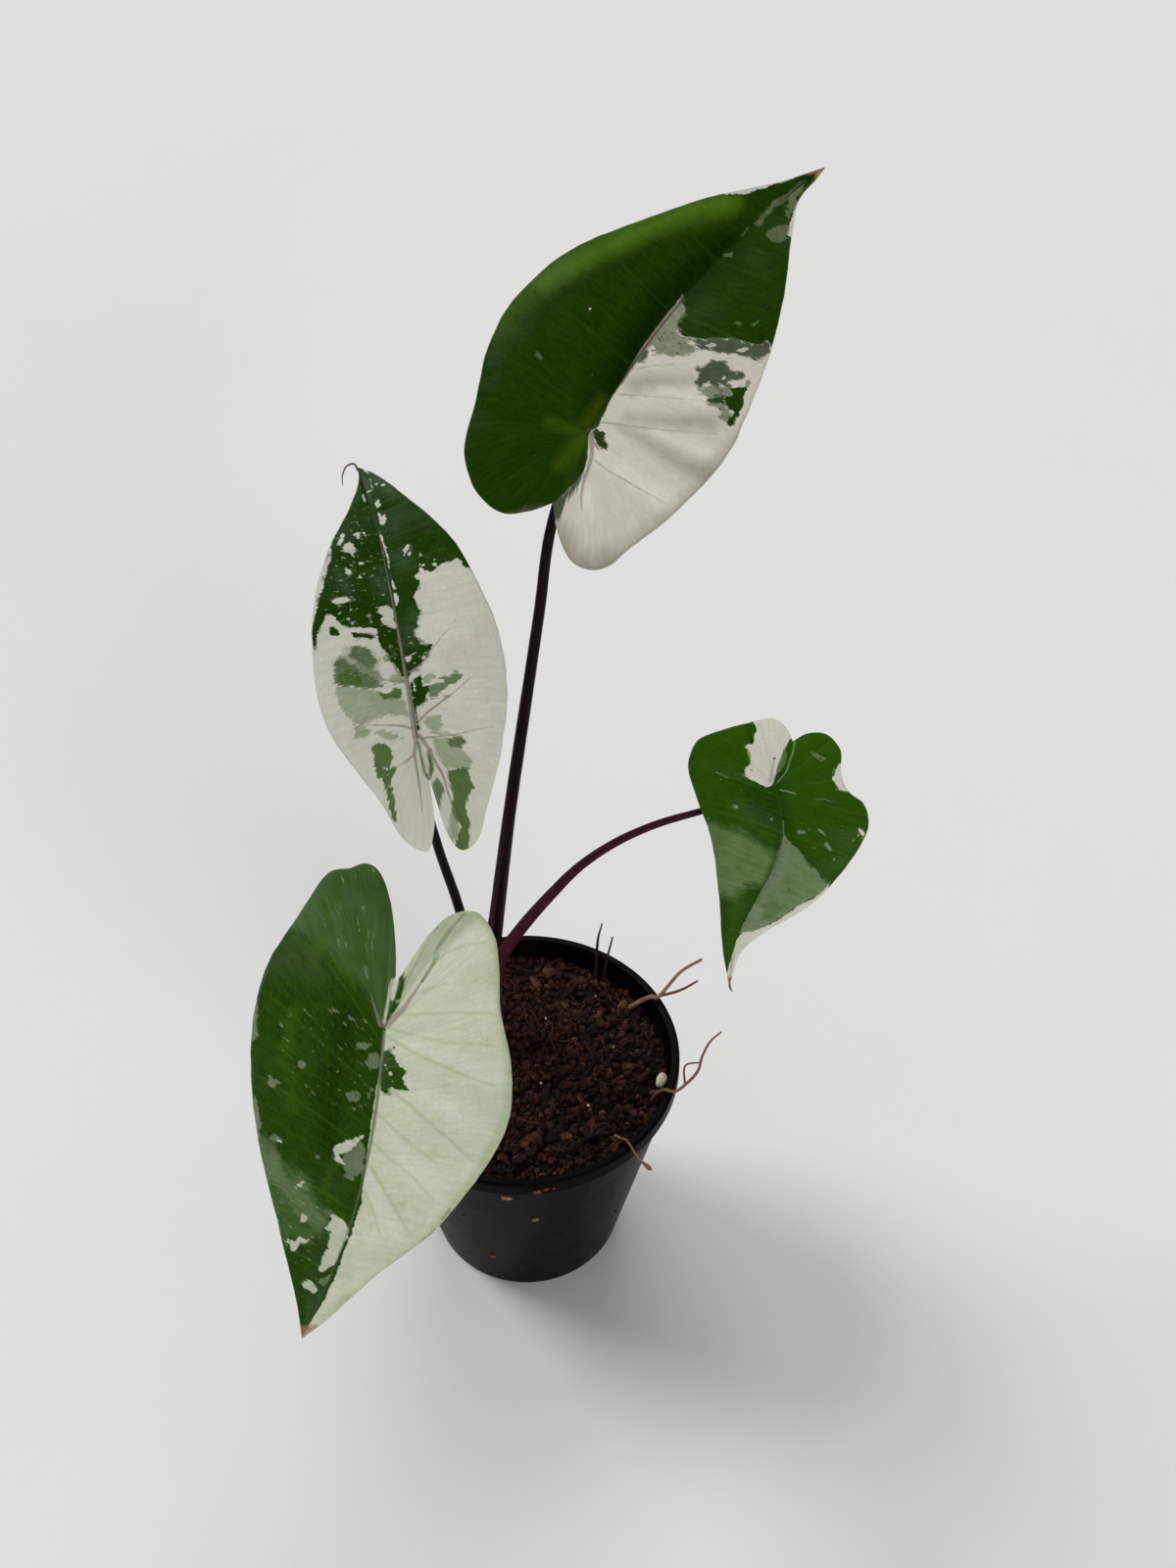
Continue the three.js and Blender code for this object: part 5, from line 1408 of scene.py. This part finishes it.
def pumice_grain():
    shape, faces = ball(4)
    dents = 0.10 * noise(shape * 10, 7.0, 21, 2)
    pits = np.clip(noise(shape * 10, 2.1, 22) - 0.25, 0, 1) * 0.16
    shape = np.sign(shape) * np.abs(shape) ** 0.9 * (1 + dents - pits)[:, None] * GRAIN_RADII
    return new_mesh("pumice_bead", shape @ rotations(2, [-0.15])[0].T + GRAIN_PLACE, faces)


# Bits of husk that stick to the front of the pot: frame pixels, length and height in mm, tint.
STUCK = [
    ((517, 1222), (4.2, 3.2), 1.12), ((548, 1216), (3.2, 2.6), 0.95), ((557, 1213), (2.4, 2.2), 0.8),
    ((565, 1212), (1.2, 1.1), 0.9), ((546, 1244), (3.0, 3.0), 1.05), ((503, 1281), (2.8, 2.8), 0.95),
    ((571, 1262), (0.9, 0.9), 0.7), ((628, 1236), (1.1, 0.8), 0.8), ((473, 1240), (0.9, 0.9), 0.8),
    ((532, 1288), (0.9, 0.8), 0.7),
]


def on_pot(pixel):
    """Where the ray through a pixel first meets the pot's outer wall, to a tenth of a millimetre, and
    the wall's outward way."""
    steps = CAMERA_PLACE + pixel_ray(*pixel) * np.linspace(500, 1000, 5001)[:, None]
    z = steps[:, 2]
    wall = np.where(z > POT_LIP - 1, POT_RIM, outside_radius(z))
    within = (np.hypot(steps[:, 0], steps[:, 1]) < wall) & (z < POT_HEIGHT) & (z > 0)
    hit = steps[np.flatnonzero(within)[0]]
    slope = (POT_SHOULDER - POT_BASE) / POT_LIP
    return hit, unit([hit[0], hit[1], -slope * math.hypot(hit[0], hit[1])])


def stuck_chips():
    rng = np.random.default_rng(77)
    shape, faces = ball(2)
    parts = []
    for pixel, (length, height), tint in STUCK:
        place, outward = on_pot(pixel)
        side = unit(np.cross((0, 0, 1), outward))
        up = np.cross(outward, side)
        lump = np.sign(shape) * np.abs(shape) ** 0.75 * rng.uniform(0.82, 1.12, (len(shape), 1))
        lump = lump * (length / 2, height / 2, 0.5)
        points = place + outward * 0.2 + lump @ np.array([side, up, outward])
        parts.append((points, [faces], {"tint": np.full(len(points), tint), "lump": lump + length}))
    return new_mesh("husk_on_pot", *joined(parts), shade=False)


# Materials

class Paint:
    """A procedural material, written as arithmetic between node sockets."""

    def __init__(self, name):
        self.material = bpy.data.materials.new(name)
        self.material.use_nodes = True
        self.tree = self.material.node_tree
        self.tree.nodes.clear()
        output = self.tree.nodes.new("ShaderNodeOutputMaterial")
        self.shader = self.tree.nodes.new("ShaderNodeBsdfPrincipled")
        self.tree.links.new(self.shader.outputs[0], output.inputs["Surface"])

    def node(self, kind, inputs, output=0, **settings):
        made = self.tree.nodes.new(kind)
        for key, value in settings.items():
            setattr(made, key, value)
        for key, value in inputs.items():
            self.put(made.inputs[key], value)
        return made.outputs[output]

    def put(self, socket, value):
        if isinstance(value, bpy.types.NodeSocket):
            self.tree.links.new(value, socket)
        elif socket.type == "RGBA" and len(value) == 3:
            socket.default_value = (*value, 1)
        else:
            socket.default_value = value

    def math(self, operation, a, b=0.0, c=0.0):
        return self.node("ShaderNodeMath", {0: a, 1: b, 2: c}, operation=operation)

    def times(self, a, b):
        return self.math("MULTIPLY", a, b)

    def most(self, a, b):
        return self.math("MAXIMUM", a, b)

    def line(self, value, slope, start):
        """Start, plus slope for each 1 of the value."""
        return self.math("MULTIPLY_ADD", value, slope, start)

    def total(self, *pairs):
        """The sum of values, each times its weight."""
        result = 0.0
        for value, weight in pairs:
            result = self.line(value, weight, result)
        return result

    def value(self, name):
        return self.node("ShaderNodeAttribute", {}, "Fac", attribute_name=name)

    def stretched(self, found, stretch):
        return self.node("ShaderNodeVectorMath", {0: found, 1: stretch}, operation="MULTIPLY")

    def vector(self, name, stretch=(1, 1, 1)):
        return self.stretched(self.node("ShaderNodeAttribute", {}, "Vector", attribute_name=name), stretch)

    def place(self, stretch=(1000, 1000, 1000)):
        """The surface point in mm, or stretched mm."""
        return self.stretched(self.node("ShaderNodeTexCoord", {}, "Object"), stretch)

    def noise(self, at, size, detail=2.0, roughness=0.5):
        """Noise with lumps about size mm apart, centred on 0 and mostly from -1 to 1."""
        inputs = {"Vector": at, "Scale": 1 / size, "Detail": detail, "Roughness": roughness}
        return self.line(self.node("ShaderNodeTexNoise", inputs, "Fac"), 4, -2)

    def cells(self, at, size, feature="F1"):
        inputs = {"Vector": at, "Scale": 1 / size}
        return self.node("ShaderNodeTexVoronoi", inputs, "Distance", feature=feature)

    def span(self, value, low, high, to_low=0.0, to_high=1.0):
        """To_low up to low and to_high from high on, even between."""
        return self.node("ShaderNodeMapRange", {"Value": value, "From Min": low, "From Max": high,
                                                "To Min": to_low, "To Max": to_high}, clamp=True)

    def mix(self, factor, a, b, blend="MIX"):
        return self.node("ShaderNodeMix", {0: factor, 6: a, 7: b}, 2, data_type="RGBA", blend_type=blend,
                         clamp_factor=True)

    def bump(self, height, distance, strength):
        inputs = {"Height": height, "Distance": distance * MM, "Strength": strength}
        return self.node("ShaderNodeBump", inputs)

    def finish(self, **inputs):
        for key, value in inputs.items():
            self.put(self.shader.inputs[key.replace("_", " ")], value)
        return self.material


def painted_marks(p, leaf, tones, mottle, calm):
    """The blade's base tone and its markings in turn: the colour, and how pale the leaf is there."""
    fine = p.noise(p.vector("grain", (1, 0.35, 1)), 1.1, 4.0, 0.7)
    broad = p.noise(p.vector("grain", (1, 0.45, 1)), 3.8, 3.0, 0.6)
    jag = p.times(p.total((fine, 0.8), (broad, 0.8)), calm)
    dotted = p.noise(p.vector("grain", (1, 0.5, 1)), 1.3, 3.0, 0.6)
    patchy = p.noise(p.vector("grain", (1, 0.6, 1)), 5.0, 2.0)
    halo = p.times(p.span(patchy, -0.2, 0.9, 0.0, 1.4), calm)
    painted = {name: p.mix(mottle, dark, light) for name, (light, dark) in tones.items()}

    colour = painted[leaf["base"]]
    pale = float(leaf["base"] in PALE_TONES)
    for index, marks in enumerate(leaf["marks"]):
        field = p.value(f"layer_{index}")
        if marks.flecks:
            inside = p.math("SUBTRACT", p.math("MINIMUM", field, 0.0), marks.flecks)
            field = p.line(dotted, marks.ragged, inside)
        else:
            field = p.line(jag, marks.ragged, field)
        if marks.soft <= HARD_EDGE and not marks.flecks:
            fringe = p.span(p.math("ADD", field, halo), -0.1, 0.25, 0.0, 0.65)
            colour = p.mix(fringe, colour, painted["grey"])
        half = marks.soft / 2 + 0.03
        mask = p.span(field, -half, half, 0.0, marks.cover)
        colour = p.mix(mask, colour, painted[marks.tone])
        if marks.tone in PALE_TONES:
            pale = p.most(pale, mask)
        elif marks.tone in DEEP_TONES:
            pale = p.times(pale, p.line(mask, -1.0, 1.0))
    return colour, pale


def veined(p, leaf, colour, pale, deep, streak):
    """Side veins, threads between them, net, rib and margin: a little paler on green and greener on
    cream. Also gives the threads, for the bump."""
    lines = leaf.get("lines", 1.0)
    vein = p.span(p.value("vein_gap"), 0.2, 0.8, 1.0, 0.0)
    vein = p.times(vein, p.span(p.value("spread"), 0.75, 1.0, 1.0, 0.0))
    vein_tone = p.mix(pale, tuple(2.2 * v + 0.006 for v in deep), (0.47, 0.48, 0.37))
    colour = p.mix(p.times(vein, 0.16 * lines), colour, vein_tone)

    wander = p.noise(p.vector("leaf"), 9.0, 3.0, 0.6)
    row = p.node("ShaderNodeSeparateXYZ", {0: p.vector("grain")}, "X")
    between = p.math("PINGPONG", p.total((row, FINE_VEINS), (wander, 0.22)), 0.5)
    broken = p.span(streak, -0.8, 0.8, 0.25, 1.0)
    thread = p.times(p.span(between, 0.0, 0.10, 1.0, 0.0), broken)
    net = p.cells(p.vector("grain", (0.3, 0.9, 1)), 1.5, "DISTANCE_TO_EDGE")
    net = p.span(net, 0.0, 0.07, 1.0, 0.0)
    net_tone = p.mix(pale, tuple(1.9 * v + 0.003 for v in deep), (0.37, 0.42, 0.25))
    colour = p.mix(p.most(p.times(thread, 0.34 * lines), p.times(net, 0.22 * lines)), colour, net_tone)

    rib_tone, wide, narrow = leaf["rib"]
    half = p.line(p.value("along"), narrow - wide, wide)
    rib = p.span(p.math("SUBTRACT", p.value("rib_gap"), half), -0.25, 0.3, 1.0, 0.0)
    rib = p.times(rib, p.span(p.value("along"), 0.45, 0.85, 0.8, 0.35))
    colour = p.mix(rib, colour, rib_tone)
    edge = p.span(p.value("edge_gap"), 0.12, 0.5, 0.45, 0.0)
    return p.mix(edge, colour, p.mix(pale, (0.13, 0.17, 0.08), (0.52, 0.51, 0.41))), thread


def underside(p, colour, pale, under):
    """The underside is paler and matt, with dark ribs."""
    below = p.mix(0.45, colour, p.mix(pale, (0.10, 0.17, 0.07), (0.42, 0.46, 0.33)))
    dark_rib = p.times(p.span(p.value("rib_gap"), 1.0, 2.2, 0.85, 0.0),
                       p.span(p.value("along"), 0.75, 1.0, 1.0, 0.0))
    below = p.mix(dark_rib, below, (0.030, 0.010, 0.016))
    return p.mix(p.span(under, 0.4, 0.6), colour, below)


def leaf_paint(leaf):
    p = Paint(f"leaf_skin_{leaf['name']}")
    tones = {**TONES, **leaf.get("tones", {})}
    cloud = p.noise(p.vector("leaf"), 7.0, 4.0, 0.6)
    streak = p.noise(p.vector("grain", (1, 0.3, 1)), 1.6, 4.0, 0.65)
    mottle = p.math("ADD", p.total((cloud, 0.3), (streak, 0.42)), 0.5)
    calm = p.span(p.value("rib_gap"), 0.6, 3.0, 0.35, 1.0)
    under = p.value("under")
    colour, pale = painted_marks(p, leaf, tones, mottle, calm)
    colour, thread = veined(p, leaf, colour, pale, tones["dark"][0], streak)
    colour = underside(p, colour, pale, under)
    height = p.total((p.cells(p.vector("leaf"), 0.5), 0.5), (streak, 0.4), (thread, -0.9))
    shine = p.line(cloud, 0.03, p.line(under, 0.2, 0.36))
    return p.finish(Base_Color=colour, Roughness=shine, Specular_IOR_Level=leaf["gloss"],
                    Normal=p.bump(height, 0.07, 0.7 * leaf.get("lines", 1.0)))


def stalk_paint(name, low, high, margin, mottled):
    """Low and high are the skin's colours at the foot and at the leaf."""
    p = Paint(f"stalk_skin_{name}")
    streak = p.noise(p.vector("skin", (1, 1, 0.12)), 0.9, 3.0, 0.6)
    blotch = p.noise(p.vector("skin", (1, 1, 0.6)), 2.6, 3.0, 0.6)
    bands = p.noise(p.vector("skin", (0.25, 0.25, 1)), 1.5, 2.0)
    colour = p.mix(p.value("along"), low, high)
    marks = p.span(p.total((blotch, 0.6), (streak, 0.35), (bands, 0.35)), -0.1, 1.3)
    colour = p.mix(marks, colour, p.mix(1.0, colour, mottled, "ADD"))
    colour = p.mix(p.times(p.value("edge"), 0.75), colour, margin)
    flecks = p.span(p.cells(p.vector("skin"), 0.9), 0.10, 0.16, 0.35, 0.0)
    colour = p.mix(flecks, colour, p.mix(1.0, colour, (0.03, 0.02, 0.02), "ADD"))
    return p.finish(Base_Color=colour, Roughness=p.line(blotch, 0.05, 0.40), Specular_IOR_Level=0.06,
                    Normal=p.bump(p.total((streak, 1.0), (bands, 0.4)), 0.08, 0.5))


def plastic_paint():
    """Black plastic with a film of dust, drip marks and specks of soil."""
    p = Paint("black_plastic")
    at = p.place()
    dust = p.noise(at, 16.0, 5.0, 0.65)
    fine = p.noise(at, 0.8, 3.0, 0.6)
    drips = p.noise(p.place((1000, 1000, 120)), 3.0, 3.0, 0.6)
    film = p.times(p.span(p.total((dust, 0.8), (fine, 0.3)), -0.2, 1.4), p.span(drips, -1.0, 1.0, 0.5, 1.2))
    colour = p.mix(film, (0.0010, 0.0010, 0.0012), (0.0048, 0.0044, 0.0042))
    colour = p.mix(p.span(p.cells(at, 2.4), 0.05, 0.085, 0.6, 0.0), colour, (0.10, 0.065, 0.045))
    height = p.total((p.noise(at, 0.45), 0.5), (p.noise(at, 5.0), 1.0))
    return p.finish(Base_Color=colour, Roughness=p.line(film, 0.20, 0.34), Specular_IOR_Level=0.03,
                    Normal=p.bump(height, 0.05, 0.5))


# Husk colours, from black soil through red-brown and tan husk to white specks: each comes in from
# its first tint to its second.
HUSK_TONES = [
    (0.0, 0.4, (0.016, 0.0058, 0.0034)), (0.35, 0.7, (0.050, 0.0170, 0.0085)),
    (0.7, 1.05, (0.150, 0.066, 0.033)), (1.0, 1.2, (0.330, 0.185, 0.115)), (1.3, 1.4, (0.62, 0.60, 0.55)),
]


def husk_paint(name, shine):
    p = Paint(name)
    streak = p.noise(p.vector("lump", (1, 0.3, 1)), 0.7, 3.0, 0.6)
    blot = p.noise(p.vector("lump"), 2.0, 3.0, 0.6)
    tint = p.total((p.value("tint"), 1.0), (streak, 0.12), (blot, 0.10))
    colour = (0.0022, 0.0010, 0.0008)
    for low, high, tone in HUSK_TONES:
        colour = p.mix(p.span(tint, low, high), colour, tone)
    return p.finish(Base_Color=colour, Roughness=p.line(blot, 0.08, shine), Specular_IOR_Level=0.10,
                    Normal=p.bump(p.total((streak, 1.0), (blot, 0.5)), 0.18, 0.8))


def pumice_paint():
    p = Paint("pumice")
    at = p.place()
    grain = p.noise(at, 0.6, 4.0, 0.65)
    pores = p.cells(at, 0.6)
    colour = p.mix(p.span(p.noise(at, 1.8, 3.0, 0.6), -1.0, 1.0), (0.72, 0.60, 0.38), (0.93, 0.87, 0.68))
    colour = p.mix(p.span(pores, 0.1, 0.3, 0.55, 0.0), colour, (0.50, 0.36, 0.18))
    return p.finish(Base_Color=colour, Roughness=p.line(grain, 0.05, 0.85),
                    Normal=p.bump(p.total((grain, 1.0), (pores, 1.5)), 0.15, 0.8))


def stem_paint():
    p = Paint("stem_skin")
    rings = p.noise(p.place((120, 120, 1000)), 1.3, 3.0, 0.6)
    blot = p.noise(p.place(), 3.0, 4.0, 0.65)
    shade = p.span(p.math("ADD", rings, blot), -1.0, 1.5)
    return p.finish(Base_Color=p.mix(shade, (0.010, 0.005, 0.006), (0.060, 0.030, 0.028)),
                    Roughness=p.line(blot, 0.06, 0.62),
                    Normal=p.bump(p.total((rings, 1.0), (blot, 0.5)), 0.2, 0.7))


def tip_paint():
    p = Paint("dry_tip")
    blot = p.noise(p.vector("skin"), 1.2, 3.0, 0.6)
    colour = p.mix(p.span(blot, -1.0, 1.0), (0.05, 0.035, 0.02), (0.16, 0.09, 0.05))
    colour = p.mix(p.span(p.value("along"), 0.0, 0.45, 0.8, 0.0), colour, (0.03, 0.05, 0.015))
    return p.finish(Base_Color=colour, Roughness=p.line(blot, 0.05, 0.6), Normal=p.bump(blot, 0.08, 0.6))


def floor_paint():
    p = Paint("studio_floor")
    at = p.place()
    cloud = p.span(p.noise(at, 400.0, 3.0), -1.5, 1.5)
    return p.finish(Base_Color=p.mix(cloud, (0.79, 0.79, 0.78), (0.83, 0.83, 0.82)),
                    Roughness=p.line(p.noise(at, 1.5, 3.0), 0.03, 0.85),
                    Normal=p.bump(p.noise(at, 1.2, 3.0), 0.05, 0.3))


# The plant put together

def settle(piece, material, slot, *nodes):
    piece.data.materials.clear()
    piece.data.materials.append(material)
    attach(piece, ROOT)
    if nodes:
        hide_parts(*nodes)


# Stalk colours: at the foot, at the leaf, of the sheath's raised edge, and what the mottling adds.
STALK_LOOKS = {
    "a": ((0.0045, 0.0018, 0.0026), (0.0050, 0.0022, 0.0026), (0.080, 0.018, 0.024), (0.010, 0.004, 0.005)),
    "b": ((0.0050, 0.0022, 0.0030), (0.0028, 0.0022, 0.0023), (0.050, 0.014, 0.018), (0.008, 0.006, 0.006)),
    "c": ((0.0070, 0.0025, 0.0035), (0.0060, 0.0030, 0.0034), (0.050, 0.014, 0.018), (0.012, 0.006, 0.007)),
    "d": ((0.0400, 0.0070, 0.0125), (0.0300, 0.0080, 0.0110), (0.085, 0.022, 0.032), (0.050, 0.016, 0.022)),
}
LEAF_SEED, STALK_SEED, TAIL_SEED = 100, 200, 91

for number, leaf in enumerate(LEAVES):
    key = leaf["name"]
    settle(blade(leaf, LEAF_SEED + number * 10), leaf_paint(leaf), "leaf_skin", f"blade_{key}")
    skin = stalk_paint(key, *STALK_LOOKS[key])
    settle(stalk(leaf, STALK_SEED + number), skin, "stalk_skin", f"petiole_{key}")

# Only leaves b and d have a drawn-out point: its radius, and its turns from where it starts.
TAILS = {
    "b": (0.42, [(-1.2, 3.0, -0.2), (-4.0, 2.6, -0.8), (-6.0, -0.6, -1.0), (-6.6, -4.0, -1.2)]),
    "d": (0.5, [(-0.3, 1.4, 0.0), (-0.9, 2.4, -0.1), (-1.7, 3.2, -0.3)]),
}
LEAF = {leaf["name"]: leaf for leaf in LEAVES}
dry = tip_paint()
for number, (key, (radius, turns_to)) in enumerate(TAILS.items()):
    settle(tail(LEAF[key], turns_to, radius, TAIL_SEED + number), dry, "leaf_skin")

settle(pot(), plastic_paint(), "black_plastic", "pot")
settle(potting_mix(), husk_paint("husk_mix", 0.62), "husk_mix", "potting_mix")
settle(long_fibres(), husk_paint("husk_fibre", 0.55), "husk_mix")
settle(stuck_chips(), husk_paint("husk_bits", 0.7), "husk_mix")
settle(pumice_grain(), pumice_paint(), "pumice", "pumice_grain")
settle(stem(), stem_paint(), "stem_skin", "stem")


# Stage, lights and camera

# A round pale floor that bends up into a wall far off.
FLOOR_FLAT, FLOOR_BEND, FLOOR_SIDES = 14000.0, 9000.0, 128

scene = bpy.context.scene
scene.view_settings.view_transform = "Standard"


def studio_floor():
    bend = np.radians(np.linspace(0, 90, 31))
    radius = np.concatenate([[500, 3000], FLOOR_FLAT + FLOOR_BEND * np.sin(bend)])
    height = np.concatenate([[0, 0], FLOOR_BEND * (1 - np.cos(bend))])
    angle = circle(FLOOR_SIDES)
    x, y = radius[:, None] * np.cos(angle), radius[:, None] * np.sin(angle)
    rings = np.stack([x, y, np.repeat(height[:, None], FLOOR_SIDES, 1)], -1).reshape(-1, 3)
    walls = wall_faces(len(radius), FLOOR_SIDES, outward=False)
    points = np.concatenate([rings, [[0, 0, 0]]])
    return new_mesh("floor", points, [walls, fan_faces(len(rings), 0, FLOOR_SIDES)])


floor = studio_floor()
floor.visible_shadow = False
floor.data.materials.append(floor_paint())

world = bpy.data.worlds.new("studio")
scene.world = world
world.use_nodes = True
background = world.node_tree.nodes["Background"]
background.inputs["Color"].default_value = (0.97, 0.985, 1.0, 1)
background.inputs["Strength"].default_value = 0.20


def soft_light(name, way, spread, strength, colour):
    """A wide, even light from the way given. Spread is its width in degrees."""
    data = bpy.data.lights.new(name, "SUN")
    data.angle, data.energy, data.color = math.radians(spread), strength, colour
    light = bpy.data.objects.new(name, data)
    scene.collection.objects.link(light)
    back = unit(way)
    side = unit(np.cross((0, 0, 1), back))
    light.rotation_euler = Matrix(np.array([side, np.cross(back, side), back]).T.tolist()).to_euler()
    light.visible_camera = False


soft_light("key", (-0.70, 0.37, 0.62), 26, 1.62, (1.0, 0.99, 0.97))
soft_light("back", (0.0, 0.574, 0.82), 36, 0.90, (1.0, 1.0, 0.99))
soft_light("front", (0.45, -0.84, 0.30), 31, 1.05, (0.98, 0.99, 1.0))

camera_data = bpy.data.cameras.new("camera")
camera_data.lens, camera_data.sensor_width, camera_data.sensor_fit = CAMERA_LENS, SENSOR, "AUTO"
camera_data.clip_start, camera_data.clip_end = 0.05, 60.0
camera = bpy.data.objects.new("camera", camera_data)
scene.collection.objects.link(camera)
camera.location = CAMERA_PLACE * MM
camera.rotation_euler = (math.pi / 2 - CAMERA_PITCH, 0, 0)
scene.camera = camera
